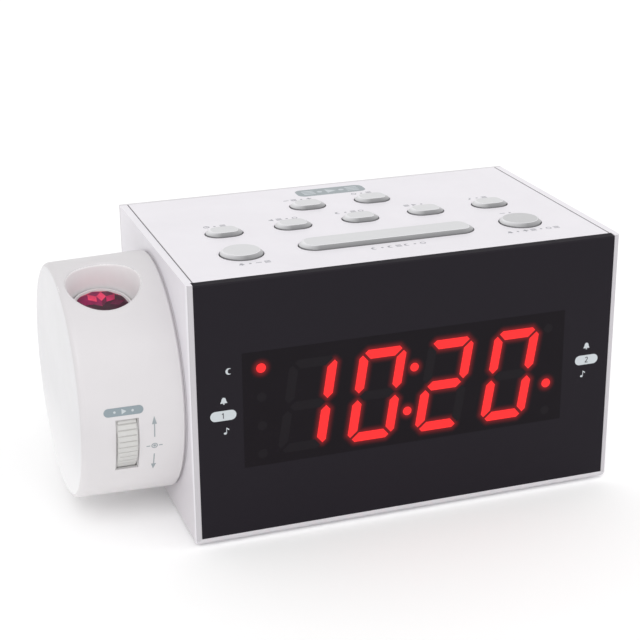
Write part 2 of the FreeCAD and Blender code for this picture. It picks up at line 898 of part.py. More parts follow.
def make_key(x, y, length, width):
    """One key: a bevelled cap, a flange under the cover and a stem to the switch."""
    cap_length = length - 2 * key_gap
    cap_width = width - 2 * key_gap
    cap_low = cover_under - fit
    cap = stadium(x, y, cap_low, cap_length, cap_width, top + key_proud - cap_low)
    cap = cap.makeChamfer(key_bevel, [edge for edge in cap.Edges
                                      if abs(edge.CenterOfMass.z - top - key_proud) < 0.01])
    flange = stadium(x, y, cap_low - key_flange_thickness, cap_length + 2 * key_flange,
                     cap_width + 2 * key_flange, key_flange_thickness)
    pieces = [cap, flange]
    for stem_x in stem_places(x, length):
        pieces.append(rod((stem_x, y, stem_bottom), Z_AXIS, key_stem_radius,
                          cap_low - stem_bottom))
    return fuse(pieces)


def key_board_screw_places():
    """X and Y of the posts that hold the key board under the cover."""
    columns = (key_board_x[0] + key_board_inset, key_board_x[1] - key_board_inset)
    rows = (front + front_row + 12, front + back_row + 2)
    return [(x, y) for x in columns for y in rows]


def make_key_board():
    """The board under the keys."""
    y_range = (front + front_row - 8, front + front_row - 8 + key_board_depth)
    board = block(key_board_x, y_range,
                  (key_board_top - board_thickness - fit, key_board_top - fit))
    holes = [shank_hole((x, y, key_board_top - board_thickness - 1), Z_AXIS, board_thickness + 2)
             for x, y in key_board_screw_places()]
    for x, y in cover_screw_places():
        holes.append(rod((x, y, key_board_top - board_thickness - 1), Z_AXIS, post_radius + 1,
                         board_thickness + 2))
    return board.cut(holes)


def make_key_board_screws():
    """Screws up through the key board into the cover's posts."""
    seat = key_board_top - board_thickness - fit - 0.02
    return Part.makeCompound([screw((x, y, seat), Z_AXIS, screw_length)
                              for x, y in key_board_screw_places()])


def make_switches():
    """A push switch under every stem."""
    switches = []
    half = switch_side / 2
    low = key_board_top - fit
    for name, x, y, length, width in keys():
        for stem_x in stem_places(x, length):
            case = block((stem_x - half, stem_x + half), (y - half, y + half),
                         (low, low + switch_height))
            plunger = rod((stem_x, y, low), Z_AXIS, switch_plunger_radius,
                          switch_top - low)
            switches.append(fuse([case, plunger]))
    return Part.makeCompound(switches)


def make_cover_screws():
    """Screws up through the ledges into the cover's bosses."""
    seat = ledge_top - ledge_thickness - 0.02
    length = ledge_thickness + cover_boss_height - 0.4
    return Part.makeCompound([screw((x, y, seat), Z_AXIS, length)
                              for x, y in cover_screw_places()])


def make_corner_screws():
    """The four screws of the back cover, at the bottom of their wells."""
    way = V(0, -1, 0)
    length = screw_well_floor + screw_length
    return Part.makeCompound([screw((x, corner_seat + 0.02, z), way, length)
                              for x, z in corner_screw_places()])


# Projector drum, made upright about its own X axis and then leaned to the front.
# X is 0 at the left wall's outer face and negative outwards, the lens looks along +Z.

drum_inner_end = -drum_gap
drum_outer_end = -drum_gap - drum_length
lens_x = -lens_from_wall
plate_inside = drum_inner_end - drum_plate_thickness
wheel_centre = drum_radius + wheel_proud - wheel_radius
wheel_y = -wheel_centre * math.cos(math.radians(wheel_angle))
wheel_z = wheel_centre * math.sin(math.radians(wheel_angle))
pinion_radius = gear_module * pinion_teeth / 2
pinion_start = lens_x + wheel_width / 2
rack_line = wheel_y + pinion_radius
cradle_back = pinion_start + pinion_width + wheel_side_gap
cradle_wall = 1.6
cradle_face = cradle_back + cradle_wall
cradle_boss_places = ((15.0, -10.5), (15.0, 7.5), (-16.0, -11.0))
shell_boss_places = ((32.0, -14.0), (-24.5, -24.0), (17.0, 30.0))
shell_boss_radius = 3.4


def place_drum(shape):
    """Lean an upright drum piece to the front and carry it to the left wall."""
    placed = shape.copy()
    placed.rotate(V(0, 0, 0), X_AXIS, lens_lean)
    placed.translate(V(left, drum_y, drum_z))
    return placed


def about_x(points):
    """A solid turned about the X axis from pairs of X and radius."""
    return face_of([(x, radius, 0) for x, radius in points]).revolve(V(0, 0, 0), X_AXIS, 360)


def make_drum_shell():
    """The drum: a drafted shell closed at its outer end, with the lens well and wheel slot."""
    outer = about_x([(drum_inner_end, 0), (drum_inner_end, drum_radius),
                     (drum_outer_end, drum_radius - drum_draft), (drum_outer_end, 0)])
    outer = outer.makeFillet(drum_outer_edge, [edge for edge in outer.Edges if
                                               abs(edge.CenterOfMass.x - drum_outer_end) < 0.01])
    outer = outer.makeChamfer(drum_inner_edge, [edge for edge in outer.Edges if
                                                abs(edge.CenterOfMass.x - drum_inner_end) < 0.01])
    hollow_end = drum_outer_end + drum_wall
    hollow = about_x([(drum_inner_end + 1, 0), (drum_inner_end + 1, drum_radius - drum_wall),
                      (hollow_end, drum_radius - drum_draft - drum_wall), (hollow_end, 0)])
    well_low = drum_radius - well_depth
    well_shape = rod((lens_x, 0, well_low), Z_AXIS, well_top_radius + well_wall,
                     well_depth + 2).common(outer)
    posts = [rod((hollow_end - 0.5, y, z), X_AXIS, shell_boss_radius,
                 plate_inside - fit - hollow_end + 0.5) for y, z in shell_boss_places]
    posts += [post_web(hollow_end, y, z) for y, z in shell_boss_places]
    well_cone = Part.makeCone(well_bottom_radius, well_top_radius + 0.3, well_depth + 2,
                              V(lens_x, 0, well_low), Z_AXIS)
    reach = slot_length / 2
    slot = block((lens_x - slot_width / 2, lens_x + slot_width / 2),
                 (-drum_radius - 3, -drum_radius + drum_wall + 3), (-reach, reach))
    slot.rotate(V(0, 0, 0), X_AXIS, -wheel_angle)
    relief = rod((lens_x - slot_width / 2, wheel_y, wheel_z), X_AXIS,
                 wheel_radius + wheel_side_gap, slot_width)
    holes = [shank_hole((plate_inside - screw_length, y, z), X_AXIS, screw_length + 1)
             for y, z in shell_boss_places]
    shell = outer.cut(hollow).fuse([well_shape] + posts).cut([well_cone, slot, relief] + holes)
    shell = shell.removeSplitter()
    return round_well(shell)


def post_web(hollow_end, y, z):
    """The rib that ties a screw post to the drum's inner wall."""
    radius = math.hypot(y, z)
    rib = block((hollow_end - 0.5, plate_inside - fit - 4), (radius, drum_radius - drum_draft - 1),
                (-1.0, 1.0))
    rib.rotate(V(0, 0, 0), X_AXIS, math.degrees(math.atan2(z, y)))
    return rib


def round_well(shell):
    """Round the mouth of the lens well."""
    mouth = []
    for edge in shell.Edges:
        point = edge.CenterOfMass
        box = edge.BoundBox
        wide = abs(box.XLength - 2 * well_top_radius) < 1.0
        if wide and point.z > drum_radius - 6 and abs(point.x - lens_x) < 0.5:
            mouth.append(edge)
    return shell.makeFillet(well_edge, mouth)


def make_drum_plate():
    """The plate that closes the drum, with the hollow hub that turns in the left wall."""
    radius = drum_radius - drum_wall - fit
    plate = rod((plate_inside, 0, 0), X_AXIS, radius, drum_plate_thickness)
    hub_end = wall + fit
    hub = rod((plate_inside, 0, 0), X_AXIS, hub_radius, hub_end - plate_inside)
    bosses = [rod((cradle_face + fit / 2, y, z), X_AXIS, cradle_boss_radius,
                  plate_inside - cradle_face) for y, z in cradle_boss_places]
    removed = [rod((plate_inside - 1, 0, 0), X_AXIS, hub_bore, hub_end - plate_inside + 2)]
    for y, z in cradle_boss_places:
        removed.append(shank_hole((cradle_face, y, z), X_AXIS, plate_inside - cradle_face))
    for y, z in shell_boss_places:
        removed.append(shank_hole((plate_inside - 1, y, z), X_AXIS, drum_plate_thickness + 2))
        removed.append(rod((drum_inner_end - screw_head_height - fit, y, z), X_AXIS,
                           screw_head_radius + fit, screw_head_height + 1))
    for y, z in hub_screw_places():
        removed.append(shank_hole((hub_end - screw_length, y, z), X_AXIS, screw_length + 1))
    return plate.fuse([hub] + bosses).cut(removed).removeSplitter()


def hub_screw_places():
    """Y and Z of the three screws in the hub's end."""
    angles = [math.radians(90 + 120 * step) for step in range(3)]
    return [(hub_screw_circle * math.cos(angle), hub_screw_circle * math.sin(angle))
            for angle in angles]


def make_hub_washer():
    """The washer inside the case that keeps the hub in the wall."""
    start = wall + fit + 0.02
    ring = tube((start, 0, 0), X_AXIS, hub_washer_radius, hub_bore, hub_washer_thickness)
    holes = [shank_hole((start - 1, y, z), X_AXIS, hub_washer_thickness + 2)
             for y, z in hub_screw_places()]
    return ring.cut(holes)


def make_hub_screws():
    """Three screws through the washer into the hub."""
    seat = wall + fit + 0.04 + hub_washer_thickness
    way = V(-1, 0, 0)
    return Part.makeCompound([screw((seat, y, z), way, screw_length)
                              for y, z in hub_screw_places()])


def make_drum_screws():
    """Three screws through the plate into the drum's posts."""
    seat = drum_inner_end - screw_head_height - fit / 2
    way = V(-1, 0, 0)
    return Part.makeCompound([screw((seat, y, z), way, screw_length)
                              for y, z in shell_boss_places])


def make_cradle_screws():
    """Three screws that hold the light box on the plate."""
    seat = cradle_back - 0.02
    return Part.makeCompound([screw((seat, y, z), X_AXIS, screw_length)
                              for y, z in cradle_boss_places])


def make_felt_ring():
    """The felt ring that brakes the drum against the wall."""
    return tube((drum_inner_end + felt_side_gap, 0, 0), X_AXIS, felt_outer_radius,
                felt_inner_radius, drum_gap - 2 * felt_side_gap)


def make_light_box():
    """The dark box behind the lens: it holds the lamp, the film, the barrel and the wheel."""
    half_x = light_box_width / 2
    half_y = light_box_depth / 2
    x_range = (lens_x - half_x, cradle_face)
    shell = block(x_range, (-half_y, half_y), (light_box_bottom, light_box_top))
    inner_x = (lens_x - half_x + light_box_wall, lens_x + half_x - light_box_wall)
    inner_y = (-half_y + light_box_wall, half_y - light_box_wall)
    lower = block(inner_x, inner_y, (light_box_bottom - 1, condenser_height - 1.2))
    between = block(inner_x, inner_y, (condenser_height, film_height - 1.2))
    upper = block(inner_x, inner_y, (film_height, light_box_top + 1))
    light_hole = rod((lens_x, 0, light_box_bottom), Z_AXIS, condenser_radius - 0.8, 30)
    sleeve = tube((lens_x, 0, sleeve_bottom), Z_AXIS, barrel_radius + barrel_clearance + sleeve_wall,
                  barrel_radius + barrel_clearance, sleeve_top - sleeve_bottom)
    clear_bore = rod((lens_x, 0, light_box_top), Z_AXIS, barrel_radius + barrel_clearance, 30)
    column_y = half_y - 1.0
    column_back = lens_x + half_x + 1.5
    columns = [block((lens_x + half_x - 2.0, column_back), (column_y, column_y + 3.0),
                     (light_box_top - 3, sleeve_top - 2)),
               block((lens_x - half_x - 1.0, lens_x - half_x + 2.0), (column_y, column_y + 3.0),
                     (light_box_top - 3, sleeve_top - 2))]
    plate = block((cradle_back, cradle_face), (-half_y - 1, 15.0 + cradle_boss_radius),
                  (light_box_bottom, light_box_top))
    foot = block((cradle_back, cradle_face), (-16.0 - cradle_boss_radius, 0),
                 (light_box_bottom, light_box_bottom + 6))
    near_ear = block((cradle_back, cradle_face), (wheel_y - 4, 0), (wheel_z - 4, wheel_z + 4))
    far = lens_x - wheel_width / 2 - wheel_side_gap
    far_ear = block((far - cradle_wall, far), (wheel_y - 4, -half_y + 1), (wheel_z - 4, wheel_z + 4))
    pin_hole = rod((far - 5, wheel_y, wheel_z), X_AXIS, pin_radius + 0.01, 30)
    holes = [shank_hole((cradle_back - 1, y, z), X_AXIS, cradle_wall + 2)
             for y, z in cradle_boss_places]
    shape = shell.fuse([sleeve, plate, foot, near_ear, far_ear] + columns)
    return shape.cut([lower, between, upper, light_hole, clear_bore, pin_hole] + holes
                     ).removeSplitter()


def make_lamp():
    """The lamp board under the light box, and the round-topped lamp on it."""
    half_x = light_box_width / 2
    half_y = light_box_depth / 2
    low = light_box_bottom - board_thickness - 0.02
    board = block((lens_x - half_x, lens_x + half_x - 1), (-half_y, half_y),
                  (low, low + board_thickness))
    stem = rod((lens_x, 0, low + board_thickness + 0.02), Z_AXIS, led_radius,
               led_height - led_radius)
    dome = Part.makeSphere(led_radius, V(lens_x, 0, stem.BoundBox.ZMax))
    return board, fuse([stem, dome])


def lens_solid(x, level, radius, edge, bulge_up, bulge_down):
    """A lens about a vertical axis at X: a rim of the edge's height and two bulged faces."""
    top_rim = V(radius, 0, edge / 2)
    low_rim = V(radius, 0, -edge / 2)
    top_pole = V(0, 0, edge / 2 + bulge_up)
    low_pole = V(0, 0, -edge / 2 - bulge_down)
    lines = [Part.makeLine(low_rim, top_rim), bulge_arc(top_rim, top_pole, radius, bulge_up)]
    if bulge_down > 0:
        lines += [Part.makeLine(top_pole, low_pole),
                  bulge_arc(low_rim, low_pole, radius, -bulge_down)]
    else:
        lines += [Part.makeLine(top_pole, low_pole), Part.makeLine(low_pole, low_rim)]
    profile = Part.Face(Part.Wire(Part.__sortEdges__(lines)))
    solid = profile.revolve(V(0, 0, 0), Z_AXIS, 360)
    solid.translate(V(x, 0, level))
    return solid


def bulge_arc(rim_point, pole, radius, bulge):
    """The arc from a lens's rim to its pole."""
    curve = (radius ** 2 + bulge ** 2) / (2 * abs(bulge))
    way = 1 if bulge > 0 else -1
    centre_z = pole.z - way * curve
    angle = math.asin(radius / curve) / 2
    mid = V(curve * math.sin(angle), 0, centre_z + way * curve * math.cos(angle))
    return Part.Arc(rim_point, mid, pole).toShape()


def make_condenser():
    """The flat-backed lens that gathers the lamp's light."""
    return lens_solid(lens_x, condenser_height + 0.02 + 0.5, condenser_radius, 1.0,
                      condenser_bulge, 0)


def make_film():
    """The small picture film in its seat at the top of the light box."""
    half_x = light_box_width / 2 - light_box_wall - fit
    half_y = light_box_depth / 2 - light_box_wall - fit
    low = film_height + 0.02
    return block((lens_x - half_x, lens_x + half_x), (-half_y, half_y), (low, low + film_thickness))


def make_barrel():
    """The lens barrel: a tube with an arm at its side that carries the rack."""
    lens_seat = barrel_top - lens_seat_depth - lens_edge - lens_bulge
    body = rod((lens_x, 0, barrel_bottom), Z_AXIS, barrel_radius, barrel_top - barrel_bottom)
    wide = rod((lens_x, 0, lens_seat), Z_AXIS, barrel_radius - barrel_wall, 30)
    narrow = rod((lens_x, 0, barrel_bottom - 1), Z_AXIS, barrel_radius - barrel_wall - 1.0, 40)
    x_range = (pinion_start + 0.3, pinion_start + pinion_width - 0.1)
    tooth_root = rack_line + 1.25 * gear_module
    arm_y = (tooth_root, tooth_root + rack_back)
    rack_half = math.pi * gear_module * rack_teeth / 2
    arm = block(x_range, arm_y, (wheel_z - rack_half, barrel_bottom + 3.4))
    bridge = block(x_range, (arm_y[0], -4.0), (barrel_bottom, barrel_bottom + 3.4))
    teeth = [rack_tooth(number, x_range, tooth_root) for number in range(rack_teeth)]
    arm = arm.fuse(teeth)
    body = body.fuse(bridge).cut([wide, narrow])
    return body.fuse(arm).removeSplitter()


def rack_tooth(number, x_range, root):
    """One straight-sided tooth of the rack, pointing at the pinion."""
    pitch = math.pi * gear_module
    slope = math.tan(math.radians(pressure_angle))
    height = wheel_z + (number - (rack_teeth - 1) / 2) * pitch
    half = pitch / 4 - backlash / 2
    tip = rack_line - gear_module
    root_half = half + (root - rack_line) * slope
    tip_half = half - gear_module * slope
    outline = face_of([(x_range[0], root + 0.1, height - root_half),
                       (x_range[0], tip, height - tip_half), (x_range[0], tip, height + tip_half),
                       (x_range[0], root + 0.1, height + root_half)])
    return outline.extrude(V(x_range[1] - x_range[0], 0, 0))


def involute_angle(radius):
    """Angle that the involute has turned from its base circle at this radius."""
    base_radius = pinion_radius * math.cos(math.radians(pressure_angle))
    roll = math.sqrt(max((radius / base_radius) ** 2 - 1, 0))
    return roll - math.atan(roll)


def pinion_outline():
    """Points of the pinion, four radii up each flank of every tooth."""
    root = pinion_radius - 1.25 * gear_module
    tip = pinion_radius + gear_module
    base_radius = pinion_radius * math.cos(math.radians(pressure_angle))
    half = math.pi / (2 * pinion_teeth) - backlash / (2 * pinion_radius)
    half_at_base = half + involute_angle(pinion_radius)
    low = max(base_radius, root)
    radii = [root] + [low + (tip - low) * step / 3 for step in range(4)]
    points = []
    for tooth in range(pinion_teeth):
        middle_angle = 2 * math.pi * tooth / pinion_teeth + math.pi / pinion_teeth
        flank = [(radius, half_at_base - involute_angle(radius)) for radius in radii]
        rising = [(radius, middle_angle - angle) for radius, angle in flank]
        falling = [(radius, middle_angle + angle) for radius, angle in reversed(flank)]
        points += rising + falling
    return [(radius * math.cos(angle), radius * math.sin(angle)) for radius, angle in points]


def make_focus_wheel():
    """The ribbed wheel with the pinion moulded to its side."""
    start = lens_x - wheel_width / 2
    rim_disc = rod((start, 0, 0), X_AXIS, wheel_radius, wheel_width)
    rim_disc = rim_disc.makeChamfer(wheel_bevel, [edge for edge in rim_disc.Edges
                                                  if len(edge.Vertexes) == 1])
    grooves = []
    for rib in range(wheel_ribs):
        half = math.pi * wheel_radius / wheel_ribs * 0.42
        groove = face_of([(start - 1, wheel_radius + 0.2, -half),
                          (start - 1, wheel_radius + 0.2, half),
                          (start - 1, wheel_radius - wheel_rib_depth, 0)])
        groove = groove.extrude(V(wheel_width + 2, 0, 0))
        groove.rotate(V(0, 0, 0), X_AXIS, 360 * rib / wheel_ribs)
        grooves.append(groove)
    pinion = face_of([(pinion_start, y, z) for y, z in pinion_outline()])
    pinion = pinion.extrude(V(pinion_width - 0.2, 0, 0))
    bore = rod((start - 1, 0, 0), X_AXIS, pin_radius + pin_clearance, 20)
    wheel = rim_disc.cut(Part.makeCompound(grooves)).fuse(pinion).cut(bore).removeSplitter()
    wheel.translate(V(0, wheel_y, wheel_z))
    return wheel


def make_wheel_pin():
    """The steel pin that the wheel turns on, held in the two ears."""
    far = lens_x - wheel_width / 2 - wheel_side_gap - cradle_wall
    return rod((far + 0.05, wheel_y, wheel_z), X_AXIS, pin_radius, cradle_face - far - 0.1)


def make_lens():
    """The projector lens in the top of the barrel."""
    level = barrel_top - lens_seat_depth - lens_bulge - lens_edge / 2 + 0.02
    return lens_solid(lens_x, level, barrel_radius - barrel_wall - 0.03, lens_edge, lens_bulge, 0)


# Lead from the main board through the hub to the light box

lead_radius = 1.4
lead_bend = 7.0


def bent_lead(points):
    """A round lead along straight runs joined by tangent arcs."""
    edges = []
    start = V(*points[0])
    for corner, after in zip(points[1:-1], points[2:]):
        corner = V(*corner)
        after = V(*after)
        way_in = (corner - start).normalize()
        way_out = (after - corner).normalize()
        turn = math.acos(max(-1, min(1, way_in.dot(way_out))))
        cut_back = lead_bend * math.tan(turn / 2)
        arc_start = corner - way_in * cut_back
        arc_end = corner + way_out * cut_back
        bisector = (way_out - way_in).normalize()
        depth = lead_bend / math.cos(turn / 2) - lead_bend
        edges.append(Part.makeLine(start, arc_start))
        edges.append(Part.Arc(arc_start, corner + bisector * depth, arc_end).toShape())
        start = arc_end
    edges.append(Part.makeLine(start, V(*points[-1])))
    path = Part.Wire(edges)
    first = V(*points[1]) - V(*points[0])
    section = Part.Wire([Part.makeCircle(lead_radius, V(*points[0]), first)])
    return path.makePipeShell([section], True, False)


def make_projector_lead():
    """The lead: up from its header, across and out through the middle of the hub."""
    low = main_board_z + board_thickness + header_height
    x = (header_x[0] + header_x[1]) / 2
    end = left + cradle_face + 1.0
    return bent_lead([(x, drum_y, low + 0.02), (x, drum_y, drum_z), (end, drum_y, drum_z)])


def export(node, shape):
    """Write one node and say how many solids it has."""
    print(node, len(shape.Solids), "valid" if shape.isValid() else "NOT VALID",
          round(shape.Volume, 1))
    shape.exportStep(os.path.join("parts", node + ".step"))


def main():
    os.makedirs("parts", exist_ok=True)
    export("housing", make_housing())
    export("top_cover", make_top_cover())
    export("front_panel", make_front_panel())
    export("inner_frame", make_chassis())
    export("rear_cover", make_rear_cover())
    export("rubber_feet", rubber_feet())
    display, lit, unlit = make_display()
    export("display_block", display)
    export("lit_segments", lit)
    export("unlit_segments", unlit)
    export("display_board", make_display_board())
    export("display_screws", make_display_screws())
    export("frame_screws", make_chassis_screws())
    export("main_board", make_main_board())
    export("board_components", make_board_parts())
    export("main_board_screws", make_main_screws())
    export("power_socket", make_socket())
    basket, cone, magnet = make_speaker()
    export("speaker_basket", basket)
    export("speaker_cone", cone)
    export("speaker_magnet", magnet)
    export("backup_cells", make_cells())
    export("cell_contacts", make_contacts())
    export("battery_door", make_battery_door())
    export("door_screw", make_door_screw())
    export("key_board", make_key_board())
    export("key_board_screws", make_key_board_screws())
    export("push_switches", make_switches())
    for name, x, y, length, width in keys():
        export(name, make_key(x, y, length, width))
    export("cover_screws", make_cover_screws())
    export("back_screws", make_corner_screws())
    export("projector_lead", make_projector_lead())
    export("felt_ring", place_drum(make_felt_ring()))
    export("drum_shell", place_drum(make_drum_shell()))
    export("drum_plate", place_drum(make_drum_plate()))
    export("drum_screws", place_drum(make_drum_screws()))
    export("hub_washer", place_drum(make_hub_washer()))
    export("hub_screws", place_drum(make_hub_screws()))
    export("light_box", place_drum(make_light_box()))
    export("light_box_screws", place_drum(make_cradle_screws()))
    board, lamp = make_lamp()
    export("lamp_board", place_drum(board))
    export("lamp", place_drum(lamp))
    export("condenser_lens", place_drum(make_condenser()))
    export("picture_film", place_drum(make_film()))
    export("lens_barrel", place_drum(make_barrel()))
    export("projector_lens", place_drum(make_lens()))
    export("focus_wheel", place_drum(make_focus_wheel()))
    export("wheel_pin", place_drum(make_wheel_pin()))


main()
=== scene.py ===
"""Looks of the projection alarm clock: finishes, lit figures, printed marks, light and camera."""
import json
import math

import bmesh
import bpy
from mathutils import Matrix, Vector


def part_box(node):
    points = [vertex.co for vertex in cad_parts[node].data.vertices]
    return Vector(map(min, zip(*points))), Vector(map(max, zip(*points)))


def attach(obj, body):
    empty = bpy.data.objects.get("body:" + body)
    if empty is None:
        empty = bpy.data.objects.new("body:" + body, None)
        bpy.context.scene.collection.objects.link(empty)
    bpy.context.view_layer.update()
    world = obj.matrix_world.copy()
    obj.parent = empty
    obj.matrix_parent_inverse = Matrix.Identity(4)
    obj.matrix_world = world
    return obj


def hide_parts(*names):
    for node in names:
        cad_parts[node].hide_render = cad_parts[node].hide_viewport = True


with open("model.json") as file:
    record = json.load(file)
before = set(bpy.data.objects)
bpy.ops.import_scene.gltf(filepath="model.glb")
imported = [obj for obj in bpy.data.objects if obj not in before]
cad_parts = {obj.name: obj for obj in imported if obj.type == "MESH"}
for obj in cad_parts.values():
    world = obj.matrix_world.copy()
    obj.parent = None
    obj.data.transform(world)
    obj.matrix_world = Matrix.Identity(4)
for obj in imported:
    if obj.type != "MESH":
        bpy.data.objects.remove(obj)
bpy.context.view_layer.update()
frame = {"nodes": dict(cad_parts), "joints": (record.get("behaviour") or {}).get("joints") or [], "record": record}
nodes = frame["nodes"]
MM = 0.001

# Camera: its place, the way it looks and its tilt, in metres and degrees
CAMERA_PLACE = (-0.17339, -0.50670, 0.26015)
CAMERA_TURN = 19.081
CAMERA_DROP = 20.688
CAMERA_ROLL = -0.468
CAMERA_LENS = 87.91

# Case, in millimetres. Places on the front are from the panel's lower left corner, and
# places on the top from the panel's left end and the front face
RIM = 2.2
WALL = 2.8
PANEL_WINDOW = (15.7, 24.3, 118.2, 41.5)
PRINT_LIFT = 0.03
SEAM_WIDTH = 0.42

# Drum, in millimetres and degrees. Its X is from the left wall of the case
DRUM_RADIUS = 42.0
DRUM_DRAFT = 0.9
DRUM_GAP = 0.5
DRUM_LENGTH = 35.2
DRUM_STRIP = 0.8
LENS_LEAN = 19.3
LENS_FROM_WALL = 20.3
WELL_REACH = 15.0
WELL_FLOOR = 27.0
WHEEL_ANGLE = 5.3

# Pale grey lips of painted shade in the wheel's slot: places along the slot, and from the drum's axis
SLOT_HALF_WIDTH = 3.86
WHEEL_HALF_WIDTH = 3.46
SIDE_LIP_REACH = 9.95
SIDE_LIP_FOOT = 38.4
SIDE_LIP_END = 39.9
SIDE_LIP_CROWN = 41.1
END_LIP = ((10.0, 39.35), (10.0, 39.95), (10.41, 39.85), (10.41, 39.35))

# Pale grey ring of painted shade in the gap beside the drum: X and radius of its four edges
GAP_RING = ((-0.44, 40.6), (-0.06, 40.6), (-0.06, 41.45), (-0.44, 41.45))
GAP_RING_STEPS = 96

# Marks on the front: bell, pill and note of each side, and their sizes
MOON_PLACE = (11.15, 60.19)
SIDE_MARKS = (("left", (9.12, 49.86), (8.82, 44.59), (9.73, 39.01)),
              ("right", (143.18, 50.97), (143.39, 45.70), (142.17, 40.43)))
MOON_SIZE = 2.3
SIDE_SIGN = 2.6
SIDE_PILL = (9.0, 3.6, 1.8)
FIGURE_HEIGHT = 2.0

# Marks on the top: the badge's place, length, width and corners, and the labels
BADGE = (77.9, 87.9, 27.2, 8.6, 2.8)
BADGE_SIGN = 4.8
BADGE_PITCH = 4.4
KEY_PITCH = 25.6
LABEL_SIGN = 2.1
LABEL_PITCH = 3.0
LABEL_SHIFT = -1.0
ROW_LABEL_Y = 59.0
BACK_LABEL_Y = 80.6
ROUND_LABEL_BACK = 11.6

# Marks on the drum: X from the wall, and millimetres along its curve
PILL_X = -21.3
PILL_ABOVE = 4.6
DRUM_PILL = (13.2, 3.0, 1.5)
PILL_SIGN = 1.9
PILL_PITCH = 3.0
ARROW_X = -11.3
ARROW_LENGTH = 8.0
ARROW_UP = 6.6
ARROW_DOWN = -8.6
FOCUS_SIGN = 2.2
FOCUS_SIGN_DROP = 1.0
FOCUS_BAR = (1.3, 0.4, 0.15)
FOCUS_BAR_OUT = 2.1

# Key caps, in millimetres, and the painted light and shade of their faces from dark to light: painted shade on the
# skirt, seam and front slope, a painted highlight on the edge and the left end
KEY_PROUD = 1.5
KEY_ROOT = 1.0
KEY_OUTLINE_DEPTH = 0.9
KEY_BEVEL_END = 1.9
KEY_BEVEL_ROUND = 1.1
KEY_BEVEL_SIDE = 1.3
KEY_EDGE = 0.12
KEY_SQUARENESS = 2.6
SKIRT_PAINTED_SHADE = 0.18
SEAM_PAINTED_SHADE = 0.22
EDGE_PAINTED_HIGHLIGHT = 0.98
FACE_TONE = 0.73
DARK_FACE_TONE = 0.58
SLOPE_PAINTED_SHADE = 0.48
SLOPE_BACK = 0.16
SLOPE_LEFT = 0.45
SLOPE_RIGHT = 0.12
SLOPE_FOOT = 0.66
KEY_PAINTED_SHADE = (40, 40, 43)
KEY_PAINTED_LIGHT = (238, 238, 240)

# Lens and its ring: radii, and heights from the tops of the lens and the barrel
BARREL_TOP = 29.8
LENS_TOP = 30.7
LENS_PROFILE = ((9.8, -0.95), (8.6, -0.6), (5.9, -0.2), (3.0, -0.04), (0.05, 0.0))
LENS_FACETS = 11
# Reds of the facets from painted shade to painted highlight, and the way and step in degrees of the painted
# highlight
LENS_SHADED_REDS = ((58, 4, 34), (92, 8, 52), (134, 14, 74), (186, 26, 84), (226, 62, 100))
LENS_HIGHLIGHT_WAY = 95
LENS_HIGHLIGHT_STEP = 24
RING_PROFILE = ((9.5, -0.2), (9.85, 0.5), (10.1, 0.6), (10.5, 0.5), (10.58, 0.3), (10.58, -0.2))
RING_STEPS = 64

# Red edge light on the window: how far it reaches, its grid and its colour
GLOW_REACH = 2.3
GLOW_GRID = 0.5
GLOW_RED = (0.20, 0.008, 0.009, 1.0)
BLACK = (0.0, 0.0, 0.0, 1.0)

# Light: the even light's strength, and each lamp's direction, share and spread in degrees
AMBIENT = 0.80
LAMPS = (("key_light", (-0.35, -0.75, 0.75), 0.30, 35.0),
         ("fill_light", (0.6, -0.5, 0.6), 0.10, 60.0))
FLOOR_REACH = 30.0
FLOOR_SHADE = 0.97
FLOOR_GLOW = 0.06

# Scales of the moulded finish, per metre
PATCH_SCALE = 38.0
GLOSS_SCALE = 160.0

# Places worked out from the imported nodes
housing_low, housing_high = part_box("housing")
cover_low, cover_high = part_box("top_cover")
LEFT = housing_low.x / MM
RIGHT = housing_high.x / MM
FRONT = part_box("front_panel")[0].y / MM
TOP = cover_high.z / MM
BASE = housing_low.z / MM
PANEL_LEFT = LEFT + RIM
PANEL_BOTTOM = BASE + RIM
hub = next(joint for joint in frame["joints"] if joint["name"] == "projector_swivel")
DRUM_Y = hub["pos_m"][1] / MM
DRUM_Z = hub["pos_m"][2] / MM


# Colour and material helpers

def linear(red, green, blue):
    """Scene-linear colour from display values of 0 to 255."""
    def one(value):
        value /= 255
        return value / 12.92 if value <= 0.04045 else ((value + 0.055) / 1.055) ** 2.4
    return (one(red), one(green), one(blue), 1.0)


def new_material(name):
    """An empty material with its shader and node tree."""
    material = bpy.data.materials.new(name)
    material.use_nodes = True
    tree = material.node_tree
    return material, tree, tree.nodes["Principled BSDF"]


def texture_place(tree):
    """The point of the piece that the procedural detail is read at."""
    place = tree.nodes.new("ShaderNodeTexCoord")
    return place.outputs["Object"]


def noise(tree, place, scale, detail=3.0, roughness=0.55):
    """A noise texture at a scale given per metre."""
    node = tree.nodes.new("ShaderNodeTexNoise")
    node.inputs["Scale"].default_value = scale
    node.inputs["Detail"].default_value = detail
    node.inputs["Roughness"].default_value = roughness
    tree.links.new(place, node.inputs["Vector"])
    return node.outputs["Fac"]


def spread(tree, value, low, high):
    """Map a value from 0.3..0.7 to the given range."""
    node = tree.nodes.new("ShaderNodeMapRange")
    node.inputs["From Min"].default_value = 0.3
    node.inputs["From Max"].default_value = 0.7
    node.inputs["To Min"].default_value = low
    node.inputs["To Max"].default_value = high
    tree.links.new(value, node.inputs["Value"])
    return node.outputs["Result"]


def shade(colour, share):
    """A colour times a share, at most white."""
    return tuple(min(channel * share, 1.0) for channel in colour[:3]) + (1.0,)


def blend_colours(tree, value, first, second):
    """Mix two colours by a value."""
    node = tree.nodes.new("ShaderNodeMix")
    node.data_type = "RGBA"
    tree.links.new(value, node.inputs["Factor"])
    node.inputs["A"].default_value = first
    node.inputs["B"].default_value = second
    return node.outputs["Result"]


